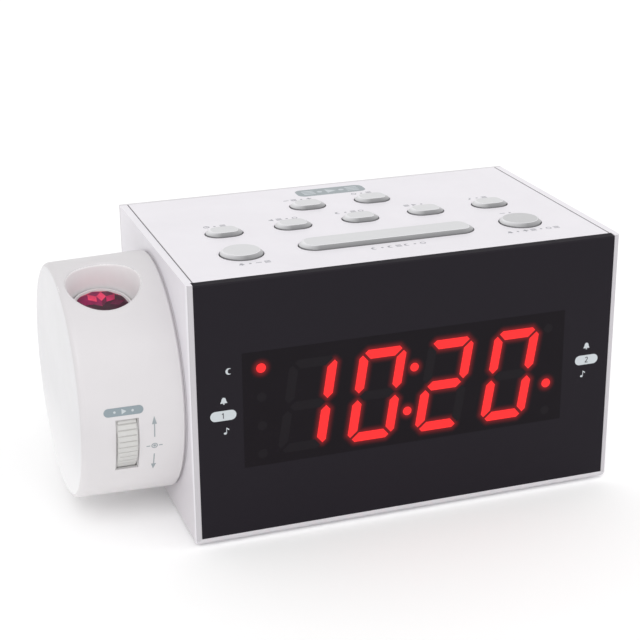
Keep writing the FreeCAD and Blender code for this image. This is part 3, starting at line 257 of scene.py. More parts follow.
def bump(tree, shader, height, strength, distance):
    """Raise and lower the surface's shading by a height value."""
    node = tree.nodes.new("ShaderNodeBump")
    node.inputs["Strength"].default_value = strength
    node.inputs["Distance"].default_value = distance
    tree.links.new(height, node.inputs["Height"])
    tree.links.new(node.outputs["Normal"], shader.inputs["Normal"])


def moulded(name, colour, roughness, grain=2200.0, grain_depth=0.00002, mottle=0.02,
            metallic=0.0, specular=0.5, coat=0.0):
    """Moulded plastic: slight mottling, uneven gloss and a fine grain."""
    material, tree, shader = new_material(name)
    place = texture_place(tree)
    patches = noise(tree, place, PATCH_SCALE, 4.0)
    tint = blend_colours(tree, spread(tree, patches, 0.0, 1.0), shade(colour, 1 - mottle),
                         shade(colour, 1 + mottle))
    tree.links.new(tint, shader.inputs["Base Color"])
    gloss = noise(tree, place, GLOSS_SCALE, 2.0)
    tree.links.new(spread(tree, gloss, roughness * 0.9, roughness * 1.1),
                   shader.inputs["Roughness"])
    shader.inputs["Metallic"].default_value = metallic
    shader.inputs["Specular IOR Level"].default_value = specular
    shader.inputs["Coat Weight"].default_value = coat
    bump(tree, shader, noise(tree, place, grain, 2.0), 0.25, grain_depth)
    return material


def painted_height_shading(name, low_colour, high_colour, low_z, high_z, roughness):
    """Moulded plastic with painted light and shade: its colour changes a little with height, in millimetres."""
    material = moulded(name, high_colour, roughness)
    tree = material.node_tree
    shader = tree.nodes["Principled BSDF"]
    tint = shader.inputs["Base Color"].links[0].from_socket
    parts = tree.nodes.new("ShaderNodeSeparateXYZ")
    tree.links.new(texture_place(tree), parts.inputs["Vector"])
    level = tree.nodes.new("ShaderNodeMapRange")
    level.interpolation_type = "SMOOTHSTEP"
    level.inputs["From Min"].default_value = low_z * MM
    level.inputs["From Max"].default_value = high_z * MM
    tree.links.new(parts.outputs["Z"], level.inputs["Value"])
    mixed = tree.nodes.new("ShaderNodeMix")
    mixed.data_type = "RGBA"
    tree.links.new(level.outputs["Result"], mixed.inputs["Factor"])
    mixed.inputs["A"].default_value = low_colour
    tree.links.new(tint, mixed.inputs["B"])
    tree.links.new(mixed.outputs["Result"], shader.inputs["Base Color"])
    return material


def glowing(name, colour, strength, mottle=0.05):
    """A lit diffuser: its glow is a little uneven along each stroke."""
    material, tree, shader = new_material(name)
    place = texture_place(tree)
    patches = noise(tree, place, 420.0, 1.0)
    shader.inputs["Base Color"].default_value = (0.25, 0.01, 0.01, 1.0)
    shader.inputs["Roughness"].default_value = 0.4
    shader.inputs["Specular IOR Level"].default_value = 0.1
    shader.inputs["Emission Strength"].default_value = strength
    tint = blend_colours(tree, spread(tree, patches, 0.0, 1.0), shade(colour, 1 - mottle),
                         colour)
    tree.links.new(tint, shader.inputs["Emission Color"])
    return material


# Colours as they look in plain light; the drum's lower colour, the cap's two colours and the lens well's colour
# hold painted light
CASE_WHITE = linear(229, 226, 231)
DRUM_WHITE = linear(209, 206, 208)
DRUM_PAINTED_LIGHT_LOW = linear(226, 223, 224)
CAP_PAINTED_LIGHT = linear(224, 223, 225)
CAP_PAINTED_LIGHT_LOW = linear(243, 242, 243)
WELL_PAINTED_LIGHT = linear(240, 238, 239)
KEY_SILVER = linear(212, 212, 214)
WHEEL_GREY = linear(198, 197, 195)
PANEL_DARK = linear(26, 22, 29)
WINDOW_DARK = linear(19, 14, 20)
PRINT_PALE = linear(190, 196, 200)
PRINT_GREY = linear(150, 158, 162)
PRINT_FAINT = linear(158, 158, 164)
LED_RED = linear(250, 45, 47)

materials = {
    "white_plastic": moulded("case_white", CASE_WHITE, 0.42),
    # The drum is painted lighter towards its bottom: painted light.
    "drum_plastic": painted_height_shading("drum_white_painted_light", DRUM_PAINTED_LIGHT_LOW, DRUM_WHITE, DRUM_Z - 42, DRUM_Z, 0.40),
    "key_plastic": moulded("key_silver", KEY_SILVER, 0.30, grain=5200.0, grain_depth=0.00001,
                           metallic=0.15),
    "wheel_plastic": moulded("wheel_grey", WHEEL_GREY, 0.5),
    "smoked_acrylic": moulded("panel_dark", PANEL_DARK, 0.12, grain=400.0,
                              grain_depth=0.000004, specular=0.14),
    "black_plastic": moulded("black_plastic", linear(34, 34, 35), 0.55),
    "rubber": moulded("foot_rubber", linear(46, 46, 47), 0.8),
    "circuit_board": moulded("board_green", linear(38, 96, 58), 0.45),
    "steel": moulded("zinc_steel", linear(190, 190, 194), 0.35, metallic=0.9),
    "cone_paper": moulded("cone_paper", linear(44, 44, 46), 0.85, grain=900.0,
                          grain_depth=0.00008),
    "magnet": moulded("magnet_iron", linear(80, 80, 82), 0.5, metallic=0.6),
    "cell_metal": moulded("cell_sleeve", linear(120, 122, 126), 0.3, metallic=0.4),
    "contact_brass": moulded("contact_brass", linear(200, 180, 120), 0.3, metallic=0.9),
    "lead_sheath": moulded("lead_sheath", linear(70, 70, 72), 0.6),
    "felt": moulded("felt_dark", linear(52, 50, 52), 0.95, grain=1500.0, grain_depth=0.0001),
    "film": moulded("film_dark", linear(30, 26, 30), 0.3),
    "unlit_segment": moulded("unlit_segment", linear(34, 29, 33), 0.4),
    "lit_segment": glowing("lit_segment", LED_RED, 1.0),
    "red_lamp": glowing("red_lamp", linear(255, 60, 60), 1.4),
    "clear_lens": moulded("clear_lens", linear(150, 60, 80), 0.1),
    "tinted_lens": moulded("tinted_lens", linear(96, 12, 44), 0.12),
}


def paint(name, material, wanted):
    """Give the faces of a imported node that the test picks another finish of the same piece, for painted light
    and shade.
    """
    mesh = nodes[name].data
    mesh.materials.append(material)
    number = len(mesh.materials) - 1
    for polygon in mesh.polygons:
        if wanted(polygon.center, polygon.normal):
            polygon.material_index = number


def dress_nodes():
    """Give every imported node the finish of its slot."""
    slots = {part["node"]: part["material_slot"] for part in frame["record"]["subparts"]}
    for name, node in nodes.items():
        material = materials[slots[name]]
        if not node.material_slots:
            node.data.materials.append(material)
        for number in range(len(node.material_slots)):
            node.material_slots[number].material = material


dress_nodes()
# Painted shade: the front faces of the housing are painted darker than the rest of the case.
rim_painted_shade = moulded("case_rim_painted_shade", linear(187, 184, 188), 0.45)
paint("housing", rim_painted_shade, lambda point, normal: normal.y < -0.6)
# Painted shade: the left wall of the case is painted darker towards the bottom.
wall_painted_shade = painted_height_shading("case_wall_painted_shade", linear(213, 209, 213), CASE_WHITE, BASE, BASE + 60, 0.42)
paint("housing", wall_painted_shade, lambda point, normal: normal.x < -0.9)
# Painted shade: the front faces along the bottom, below the panel, are painted darker than the case.
sill_painted_shade = moulded("case_sill_painted_shade", linear(203, 200, 204), 0.45)
sill_top = (BASE + RIM + 0.3) * MM
paint("housing", sill_painted_shade, lambda point, normal: normal.y < -0.6 and point.z < sill_top)
# Painted shade: the top and side faces of the rear cover are painted darker than the case.
back_painted_shade = moulded("back_white_painted_shade", linear(212, 209, 212), 0.45)
paint("rear_cover", back_painted_shade, lambda point, normal: normal.z > 0.2 or abs(normal.x) > 0.2)
# Painted highlight: the upward faces of the front panel are painted lighter and less shiny than the panel.
panel_top_painted_highlight = moulded("panel_top_painted_highlight", linear(38, 35, 40), 0.5, specular=0.05)
paint("front_panel", panel_top_painted_highlight, lambda point, normal: normal.z > 0.05)
# Painted light: the outer end of the drum is painted lighter than its side, and lighter still towards the bottom.
drum_end_painted_light = painted_height_shading("drum_cap", CAP_PAINTED_LIGHT_LOW, CAP_PAINTED_LIGHT, DRUM_Z - 40, DRUM_Z, 0.4)
paint("drum_shell", drum_end_painted_light, lambda point, normal: normal.x < -0.93)


def leaned(x, y, z):
    """A point of the upright drum, X from the wall, carried to its leaned place."""
    lean = math.radians(LENS_LEAN)
    return Vector((LEFT + x, DRUM_Y + y * math.cos(lean) - z * math.sin(lean),
                   DRUM_Z + y * math.sin(lean) + z * math.cos(lean)))


def in_lens_well(point, normal):
    """Whether a place of the drum is on the wall of the lens well."""
    lean = math.radians(LENS_LEAN)
    away_y = point.y / MM - DRUM_Y
    away_z = point.z / MM - DRUM_Z
    height = away_z * math.cos(lean) - away_y * math.sin(lean)
    across = away_y * math.cos(lean) + away_z * math.sin(lean)
    off_axis = math.hypot(point.x / MM - LEFT + LENS_FROM_WALL, across)
    turned_in = abs(normal.z * math.cos(lean) - normal.y * math.sin(lean)) < 0.6
    return height > WELL_FLOOR and off_axis < WELL_REACH and turned_in


# Painted light: the walls of the lens well are painted lighter than the rest of the drum.
lens_well_painted_light = moulded("well_white_painted_light", WELL_PAINTED_LIGHT, 0.4)
paint("drum_shell", lens_well_painted_light, in_lens_well)


# Flat marks: outlines in millimetres on a plane, laid on the front, the top or the drum

def circle(x, y, radius, steps=28):
    """Points of a circle."""
    return [(x + radius * math.cos(2 * math.pi * step / steps),
             y + radius * math.sin(2 * math.pi * step / steps)) for step in range(steps)]


def rounded_bar(x, y, length, width, radius, steps=8):
    """A rectangle with round corners about a centre."""
    points = []
    corners = ((1, 1, 0), (-1, 1, 90), (-1, -1, 180), (1, -1, 270))
    for way_x, way_y, start in corners:
        centre_x = x + way_x * (length / 2 - radius)
        centre_y = y + way_y * (width / 2 - radius)
        for step in range(steps + 1):
            angle = math.radians(start + 90 * step / steps)
            points.append((centre_x + radius * math.cos(angle),
                           centre_y + radius * math.sin(angle)))
    return points


def ribbon(points, width):
    """The outline of a line of the given width through points."""
    left_side = []
    right_side = []
    last = len(points) - 1
    for number, (x, y) in enumerate(points):
        before = points[max(number - 1, 0)]
        after = points[min(number + 1, last)]
        run_x = after[0] - before[0]
        run_y = after[1] - before[1]
        length = math.hypot(run_x, run_y)
        side_x = -run_y / length * width / 2
        side_y = run_x / length * width / 2
        left_side.append((x + side_x, y + side_y))
        right_side.append((x - side_x, y - side_y))
    return left_side + right_side[::-1]


def arc_points(x, y, radius_x, radius_y, start, end, steps=12):
    """Points along an arc of an ellipse, angles in degrees."""
    points = []
    for step in range(steps + 1):
        angle = math.radians(start + (end - start) * step / steps)
        points.append((x + radius_x * math.cos(angle), y + radius_y * math.sin(angle)))
    return points


def sign_bell(x, y, size):
    """A bell: a dome that flares to its rim, with a clapper under it."""
    s = size / 2
    dome = arc_points(x, y + 0.1 * s, 0.62 * s, 0.85 * s, 180, 0)
    body = [(x + 0.95 * s, y - 0.62 * s)] + [(x - 0.95 * s, y - 0.62 * s)] + dome
    return [body, circle(x, y - 0.82 * s, 0.2 * s, 12)]


def sign_note(x, y, size):
    """A musical note."""
    s = size / 2
    head = arc_points(x - 0.3 * s, y - 0.7 * s, 0.42 * s, 0.3 * s, 0, 330)
    stem = rounded_bar(x + 0.05 * s, y + 0.1 * s, 0.16 * s, 1.6 * s, 0.06 * s, 2)
    flag = [(x + 0.05 * s, y + 0.9 * s), (x + 0.75 * s, y + 0.45 * s),
            (x + 0.7 * s, y + 0.1 * s), (x + 0.05 * s, y + 0.55 * s)]
    return [head, stem, flag]


def sign_moon(x, y, size):
    """A crescent."""
    s = size / 2
    outer = arc_points(x, y, s, s, 50, 310, 20)
    inner = arc_points(x + 0.45 * s, y, 0.78 * s, 0.78 * s, 290, 70, 20)
    return [outer + inner]


def sign_plus(x, y, size):
    """A plus sign as two bars."""
    return [rounded_bar(x, y, size, size * 0.22, size * 0.05, 2),
            rounded_bar(x, y, size * 0.22, size, size * 0.05, 2)]


def sign_minus(x, y, size):
    """A minus sign."""
    return [rounded_bar(x, y, size, size * 0.22, size * 0.05, 2)]


def sign_right(x, y, size):
    """A triangle that points right."""
    s = size / 2
    return [[(x - 0.7 * s, y - s), (x + s, y), (x - 0.7 * s, y + s)]]


def sign_left(x, y, size):
    """A triangle that points left."""
    s = size / 2
    return [[(x + 0.7 * s, y - s), (x + 0.7 * s, y + s), (x - s, y)]]


def sign_bars(x, y, size):
    """Three short bars on each other."""
    return [rounded_bar(x, y + offset * size * 0.38, size, size * 0.2, size * 0.05, 2)
            for offset in (-1, 0, 1)]


def sign_dot(x, y, size):
    """A small round dot."""
    return [circle(x, y, size * 0.22, 14)]


def sign_ring(x, y, size):
    """An open ring as two half rings."""
    radius = size * 0.42
    return [ribbon(arc_points(x, y, radius, radius, start, start + 180), size * 0.16)
            for start in (0, 180)]


def sign_clock(x, y, size):
    """A small dial with two hands."""
    hands = [ribbon([(x, y), (x, y + 0.3 * size)], size * 0.12),
             ribbon([(x, y), (x + 0.22 * size, y)], size * 0.12)]
    return sign_ring(x, y, size * 1.1) + hands


def digit_one(x, y, height):
    """The figure 1."""
    h = height / 2
    width = height * 0.15
    return [ribbon([(x, y - h), (x, y + h)], width),
            ribbon([(x - 0.42 * h, y + 0.5 * h), (x, y + 0.92 * h)], width)]


def digit_two(x, y, height):
    """The figure 2."""
    h = height / 2
    width = height * 0.15
    bow = arc_points(x, y + 0.45 * h, 0.45 * h, 0.5 * h, 160, -35, 10)
    foot = bow[-1:] + [(x - 0.5 * h, y - 0.92 * h)]
    return [ribbon(bow, width), ribbon(foot, width),
            ribbon([(x - 0.55 * h, y - 0.93 * h), (x + 0.55 * h, y - 0.93 * h)], width)]


def arrow(x, y, length, way):
    """A slim arrow along Y."""
    head = 3.0
    tip = y + way * length / 2
    tail = y - way * length / 2
    neck = tip - way * head
    return [[(x - 0.85, neck), (x + 0.85, neck), (x, tip)][::way],
            rounded_bar(x, (neck + tail) / 2, 0.38, abs(neck - tail), 0.1, 2)]


def mesh_from(name, corners, faces):
    """A mesh from corners and faces, its faces turned outward."""
    mesh = bpy.data.meshes.new(name)
    mesh.from_pydata(corners, [], faces)
    work = bmesh.new()
    work.from_mesh(mesh)
    bmesh.ops.recalc_face_normals(work, faces=work.faces)
    work.to_mesh(mesh)
    work.free()
    return mesh


def ring_faces(levels, steps, closed=False):
    """Four-sided faces between rings of corners, and back to the first ring if closed."""
    faces = []
    for level in range(levels if closed else levels - 1):
        above = (level + 1) % levels
        for step in range(steps):
            after = (step + 1) % steps
            faces.append((level * steps + step, level * steps + after,
                          above * steps + after, above * steps + step))
    return faces


def add_piece(name, mesh, material, body):
    """Put a mesh in the scene: it rides on a body and takes its finish from a slot."""
    mesh.materials.append(material)
    piece = bpy.data.objects.new(name, mesh)
    bpy.context.scene.collection.objects.link(piece)
    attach(piece, body)
    return piece


def cut_in_strips(work, width):
    """Cut flat outlines across Y in strips, so that they can bend round the drum."""
    rows = [vert.co.y for vert in work.verts]
    level = min(rows) + width
    while level < max(rows):
        geometry = work.verts[:] + work.edges[:] + work.faces[:]
        bmesh.ops.bisect_plane(work, geom=geometry, plane_co=(0, level, 0), plane_no=(0, 1, 0))
        level += width


def mark_mesh(name, outlines, laid, layer, strip):
    """A thin closed mesh from flat outlines, laid on a surface by a function of X, Y and lift."""
    work = bmesh.new()
    for outline in outlines:
        work.faces.new([work.verts.new((x, y, 0.0)) for x, y in outline])
    if strip:
        cut_in_strips(work, strip)
    raised = bmesh.ops.extrude_face_region(work, geom=work.faces[:])
    for element in raised["geom"]:
        if isinstance(element, bmesh.types.BMVert):
            element.co.z = 1.0
    for vert in work.verts:
        vert.co = laid(vert.co.x, vert.co.y, PRINT_LIFT * (vert.co.z + layer)) * MM
    bmesh.ops.recalc_face_normals(work, faces=work.faces)
    mesh = bpy.data.meshes.new(name)
    work.to_mesh(mesh)
    work.free()
    return mesh


def on_front(x, z, lift):
    """A point on the front panel, from its lower left corner."""
    return Vector((PANEL_LEFT + x, FRONT - lift, PANEL_BOTTOM + z))


def on_top(x, y, lift):
    """A point on the top cover, from the panel's left end and the front face."""
    return Vector((PANEL_LEFT + x, FRONT + y, TOP + lift))


def on_drum(x, along, lift):
    """A point on the drum: X from the wall, and millimetres up round it from its middle."""
    angle = along / DRUM_RADIUS
    share = (-x - DRUM_GAP) / DRUM_LENGTH
    radius = DRUM_RADIUS - DRUM_DRAFT * share + lift
    return leaned(x, -radius * math.cos(angle), radius * math.sin(angle))


def mark_front(name, outlines, material, layer=0):
    """A printed mark on the front panel; layer 1 lies on another mark."""
    mesh = mark_mesh(name, outlines, on_front, layer, None)
    add_piece(name, mesh, material, "case")


def mark_top(name, outlines, material, layer=0):
    """A printed mark on the top cover."""
    mesh = mark_mesh(name, outlines, on_top, layer, None)
    add_piece(name, mesh, material, "case")


def mark_drum(name, outlines, material, layer=0):
    """A printed mark on the drum."""
    mesh = mark_mesh(name, outlines, on_drum, layer, DRUM_STRIP)
    add_piece(name, mesh, material, "projector")


def sign_row(signs, x, y, size, pitch):
    """Several signs side by side."""
    outlines = []
    for number, sign in enumerate(signs):
        outlines += sign(x + (number - (len(signs) - 1) / 2) * pitch, y, size)
    return outlines


print_pale = moulded("print_pale", PRINT_PALE, 0.5, grain_depth=0.000002, mottle=0.04)
print_dark = moulded("print_dark", linear(70, 70, 76), 0.5, grain_depth=0.000002, mottle=0.04)
print_grey = moulded("print_grey", PRINT_GREY, 0.5, grain_depth=0.000002, mottle=0.04)
print_slate = moulded("print_slate", linear(136, 148, 154), 0.5, grain_depth=0.000002,
                      mottle=0.04)
print_faint = moulded("print_faint", PRINT_FAINT, 0.5, grain_depth=0.000002, mottle=0.04)


def print_front():
    """The marks beside the display: a sign over and under a numbered pill on each side."""
    mark_front("mark_moon_left", sign_moon(*MOON_PLACE, MOON_SIZE), print_pale)
    figures = {"left": digit_one, "right": digit_two}
    for side, bell, pill, note in SIDE_MARKS:
        mark_front("mark_bell_" + side, sign_bell(*bell, SIDE_SIGN), print_pale)
        mark_front("mark_pill_" + side, [rounded_bar(*pill, *SIDE_PILL)], print_pale)
        mark_front("mark_number_" + side, figures[side](*pill, FIGURE_HEIGHT), print_dark, 1)
        mark_front("mark_note_" + side, sign_note(*note, SIDE_SIGN), print_pale)


def print_top():
    """The badge behind the keys and a small row of signs at each key."""
    mark_top("badge_top", [rounded_bar(*BADGE)], print_grey)
    signs = (sign_bars, sign_dot, sign_right, sign_dot, sign_bars)
    mark_top("badge_top_signs", sign_row(signs, *BADGE[:2], BADGE_SIGN, BADGE_PITCH),
             print_pale, 1)
    middle = (RIGHT - LEFT) / 2 - RIM
    start = middle + LABEL_SHIFT
    low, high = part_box("round_key_right")
    round_x = (low.x + high.x) / 2 / MM - PANEL_LEFT
    round_y = (low.y + high.y) / 2 / MM - FRONT
    labels = (
        ("row_1", start - 2 * KEY_PITCH, ROW_LABEL_Y, (sign_clock, sign_dot, sign_bars)),
        ("row_2", start - KEY_PITCH, ROW_LABEL_Y, (sign_left, sign_bars, sign_dot, sign_ring)),
        ("row_3", start, ROW_LABEL_Y, (sign_moon, sign_dot, sign_bars, sign_ring)),
        ("row_4", start + KEY_PITCH, ROW_LABEL_Y, (sign_bars, sign_right, sign_dot)),
        ("row_5", start + 2 * KEY_PITCH, ROW_LABEL_Y, (sign_note, sign_dot, sign_bars)),
        ("back_1", start - KEY_PITCH / 2, BACK_LABEL_Y,
         (sign_minus, sign_bars, sign_dot, sign_plus)),
        ("back_2", start + KEY_PITCH / 2, BACK_LABEL_Y, (sign_ring, sign_dot, sign_bars)),
        ("round_1", middle - 50.7, 14.9, (sign_bell, sign_dot, sign_minus, sign_bars)),
        ("snooze", middle + 1.0, 15.4,
         (sign_moon, sign_dot, sign_moon, sign_bars, sign_moon, sign_dot, sign_ring)),
        ("round_2", middle + 52.2, 15.6,
         (sign_bell, sign_dot, sign_plus, sign_bars, sign_dot, sign_ring, sign_bars)),
        ("round_3", round_x, round_y + ROUND_LABEL_BACK, (sign_minus, sign_dot)))
    for name, x, y, signs in labels:
        mark_top("label_" + name, sign_row(signs, x, y, LABEL_SIGN, LABEL_PITCH), print_faint)


def print_drum():
    """The pill above the focus wheel, and the arrows beside the wheel."""
    wheel_along = math.radians(WHEEL_ANGLE) * DRUM_RADIUS
    pill_along = math.radians(LENS_LEAN + PILL_ABOVE) * DRUM_RADIUS
    mark_drum("drum_pill", [rounded_bar(PILL_X, pill_along, *DRUM_PILL)], print_slate)
    signs = sign_row((sign_dot, sign_right, sign_dot), PILL_X, pill_along, PILL_SIGN, PILL_PITCH)
    mark_drum("drum_pill_signs", signs, print_pale, 1)
    for name, shift, way in (("up", ARROW_UP, 1), ("down", ARROW_DOWN, -1)):
        mark_drum("drum_arrow_" + name, arrow(ARROW_X, wheel_along + shift, ARROW_LENGTH, way),
                  print_grey)
    along = wheel_along - FOCUS_SIGN_DROP
    bars = [rounded_bar(ARROW_X + side * FOCUS_BAR_OUT, along, *FOCUS_BAR, 2)
            for side in (-1, 1)]
    mark_drum("drum_focus_sign", sign_ring(ARROW_X, along, FOCUS_SIGN)
              + sign_dot(ARROW_X, along, FOCUS_SIGN) + bars, print_grey)


def slot_shade_lip(name, low_x, high_x, section, finish):
    """A thin bar of painted shade in the wheel's slot: its section is given along the slot and from the axis."""
    turn = math.radians(WHEEL_ANGLE)
    corners = [leaned(x - LENS_FROM_WALL, along * math.sin(turn) - radius * math.cos(turn),
                      along * math.cos(turn) + radius * math.sin(turn)) * MM
               for x in (low_x, high_x) for along, radius in section]
    count = len(section)
    faces = ring_faces(2, count) + [tuple(range(count)), tuple(range(count, 2 * count))]
    name = "slot_shade_lip_" + name
    add_piece(name, mesh_from(name, corners, faces), finish, "projector")


def make_slot_frame():
    """Thin pale grey lips of painted shade that close the gaps on the four sides of the focus wheel."""
    finish = moulded("slot_shade_lip", linear(186, 184, 184), 0.6)
    crown = [(along, math.sqrt(SIDE_LIP_CROWN ** 2 - along ** 2)) for along in range(-9, 10, 3)]
    side_section = [(-SIDE_LIP_REACH, SIDE_LIP_FOOT), (-SIDE_LIP_REACH, SIDE_LIP_END)] + crown
    side_section += [(SIDE_LIP_REACH, SIDE_LIP_END), (SIDE_LIP_REACH, SIDE_LIP_FOOT)]
    for name, way in (("near", 1), ("far", -1)):
        slot_shade_lip(name, way * WHEEL_HALF_WIDTH, way * SLOT_HALF_WIDTH, side_section, finish)
    for name, way in (("top", 1), ("bottom", -1)):
        section = [(way * along, radius) for along, radius in END_LIP]
        slot_shade_lip(name, -SLOT_HALF_WIDTH, SLOT_HALF_WIDTH, section, finish)


def make_gap_ring():
    """The pale grey ring of painted shade that closes most of the gap between the drum and the wall."""
    corners = []
    for x, radius in GAP_RING:
        for step in range(GAP_RING_STEPS):
            angle = 2 * math.pi * step / GAP_RING_STEPS
            corners.append(leaned(x, radius * math.cos(angle), radius * math.sin(angle)) * MM)
    faces = ring_faces(len(GAP_RING), GAP_RING_STEPS, closed=True)
    finish = moulded("gap_shade_ring", linear(188, 184, 188), 0.6)
    add_piece("gap_shade_ring", mesh_from("gap_shade_ring", corners, faces), finish, "projector")


print_front()
print_top()
print_drum()
make_slot_frame()
make_gap_ring()


# Keys: each packed cap again with a wide soft bevel, its painted light and shade set by the way it faces

def key_ring(reach, radius_x, radius_y, power, steps=14):
    """Points round a bar with rounded ends about its middle, each with its outward way."""
    points = []
    for end, start in ((1, -90), (-1, 90)):
        for step in range(steps + 1):
            angle = math.radians(start + 180 * step / steps)
            side = math.copysign(abs(math.cos(angle)) ** (2 / power), math.cos(angle))
            rise = math.copysign(abs(math.sin(angle)) ** (2 / power), math.sin(angle))
            points.append((end * reach + radius_x * side, radius_y * rise,
                           math.cos(angle), math.sin(angle)))
    return points


def key_finish():
    """Satin silver with painted light and shade from the mesh: light on top, painted shade on the front slope."""
    material, tree, shader = new_material("key_satin_painted_shade")
    place = texture_place(tree)
    tone = tree.nodes.new("ShaderNodeAttribute")
    tone.attribute_name = "tone"
    tint = blend_colours(tree, tone.outputs["Fac"], linear(*KEY_PAINTED_SHADE), linear(*KEY_PAINTED_LIGHT))
    tree.links.new(tint, shader.inputs["Base Color"])
    gloss = noise(tree, place, 500.0, 2.0)
    tree.links.new(spread(tree, gloss, 0.28, 0.36), shader.inputs["Roughness"])
    shader.inputs["Metallic"].default_value = 0.1
    bump(tree, shader, noise(tree, place, 6000.0, 2.0), 0.2, 0.00001)
    return material


def bevel_painted_shade(way_x, way_y):
    """Painted light and shade of the bevel by the way it faces: a painted highlight at the left end, dark painted
    shade at the front.
    """
    return (SLOPE_PAINTED_SHADE + SLOPE_BACK * way_y - SLOPE_LEFT * min(way_x, 0.0)
            + SLOPE_RIGHT * max(way_x, 0.0))


def make_key(name, material, face_tone):
    """One key cap: skirt, wide bevel and flat top, with painted shade on the skirt and slope and a painted
    highlight along the edge.
    """
    tops = [vert.co / MM for vert in nodes[name].data.vertices
            if vert.co.z > (TOP + KEY_PROUD - KEY_OUTLINE_DEPTH) * MM]
    low_x, high_x = min(co.x for co in tops), max(co.x for co in tops)
    low_y, high_y = min(co.y for co in tops), max(co.y for co in tops)
    middle_x, middle_y = (low_x + high_x) / 2, (low_y + high_y) / 2
    radius = (high_y - low_y) / 2
    reach = (high_x - low_x) / 2 - radius
    is_round = reach < 0.1
    end = KEY_BEVEL_ROUND if is_round else KEY_BEVEL_END
    side = KEY_BEVEL_SIDE
    square = 2.0 if is_round else KEY_SQUARENESS
    cap = TOP + KEY_PROUD
    shoulder = cap - KEY_EDGE
    # Height, how far the ring is drawn in along X and Y, squareness, tone of painted light and shade, and slope
    # share
    levels = ((TOP - KEY_ROOT, 0, 0, 2.0, SKIRT_PAINTED_SHADE, None),
              (TOP + 0.3, 0, 0, 2.0, SEAM_PAINTED_SHADE, None),
              (TOP + 0.42, 0.06, 0.06, 2.0, None, SLOPE_FOOT),
              (shoulder, end - 0.1, side - 0.1, square, None, 1.0),
              (shoulder, end - 0.1, side - 0.1, square, EDGE_PAINTED_HIGHLIGHT, None),
              (cap, end + 0.1, side + 0.1, square, face_tone + 0.02, None),
              (cap, end + 0.35, side + 0.35, square, face_tone, None))
    corners = []
    tones = []
    for z, draw_x, draw_y, power, tone, share in levels:
        for x, y, way_x, way_y in key_ring(reach, radius - draw_x, radius - draw_y, power):
            corners.append(((middle_x + x) * MM, (middle_y + y) * MM, z * MM))
            tones.append(bevel_painted_shade(way_x, way_y) * share if tone is None else tone)
    count = len(corners) // len(levels)
    last = len(corners) - count
    faces = ring_faces(len(levels), count)
    faces += [tuple(range(last, last + count)), tuple(reversed(range(count)))]
    mesh = mesh_from(name + "_cap_skin", corners, faces)
    attribute = mesh.attributes.new("tone", "FLOAT", "POINT")
    attribute.data.foreach_set("value", tones)
    piece = add_piece(name + "_cap_skin", mesh, material, name + "_cap")
    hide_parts(name)


satin = key_finish()
for key_name in nodes:
    if key_name.startswith(("row_key", "back_key", "round_key", "snooze")):
        make_key(key_name, satin, DARK_FACE_TONE if key_name == "round_key_right" else FACE_TONE)


# Seams beside the top cover, drawn as thin dark lines

def make_seams():
    """A dark line along each side of the top cover."""
    finish = moulded("seam_shadow", linear(120, 116, 120), 0.8, specular=0.1)
    inset = WALL - RIM + 0.1
    depth = (cover_high.y - cover_low.y) / MM
    middle_y = cover_low.y / MM - FRONT + depth / 2
    for side, x in (("left", inset), ("right", RIGHT - LEFT - 2 * RIM - inset)):
        mark_top("seam_" + side, [rounded_bar(x, middle_y, SEAM_WIDTH, depth, 0.1, 2)], finish)


make_seams()


# Lens: a cut glass lens lit from behind, in a pale ring

def lens_rings(profile, height, steps, turn=0.0):
    """Rings of corners about the lens's axis; every second ring is turned by a share of a step."""
    corners = []
    for number, (radius, drop) in enumerate(profile):
        for step in range(steps):
            angle = 2 * math.pi * (step + turn * (number % 2)) / steps
            corners.append(leaned(radius * math.cos(angle) - LENS_FROM_WALL,
                                  radius * math.sin(angle), height + drop) * MM)
    return corners


def facet_faces(levels, steps):
    """Triangles between rings that are turned against each other, in pairs."""
    faces = []
    for level in range(levels - 1):
        for step in range(steps):
            after = (step + 1) % steps
            low, low_next = level * steps + step, level * steps + after
            high, high_next = low + steps, low_next + steps
            if level % 2:
                faces += [(low, high_next, high), (low, low_next, high_next)]
            else:
                faces += [(low, low_next, high), (low_next, high_next, high)]
    return faces


def lens_red(number, colour):
    """A red facet that glows a little from within."""
    material, tree, shader = new_material("lens_red_%d" % number)
    patches = noise(tree, texture_place(tree), 260.0, 2.0)
    tint = blend_colours(tree, spread(tree, patches, 0.0, 1.0), shade(colour, 0.6), colour)
    tree.links.new(tint, shader.inputs["Base Color"])
    tree.links.new(tint, shader.inputs["Emission Color"])
    shader.inputs["Emission Strength"].default_value = 0.12
    shader.inputs["Roughness"].default_value = 0.08
    shader.inputs["Specular IOR Level"].default_value = 0.3
    return material


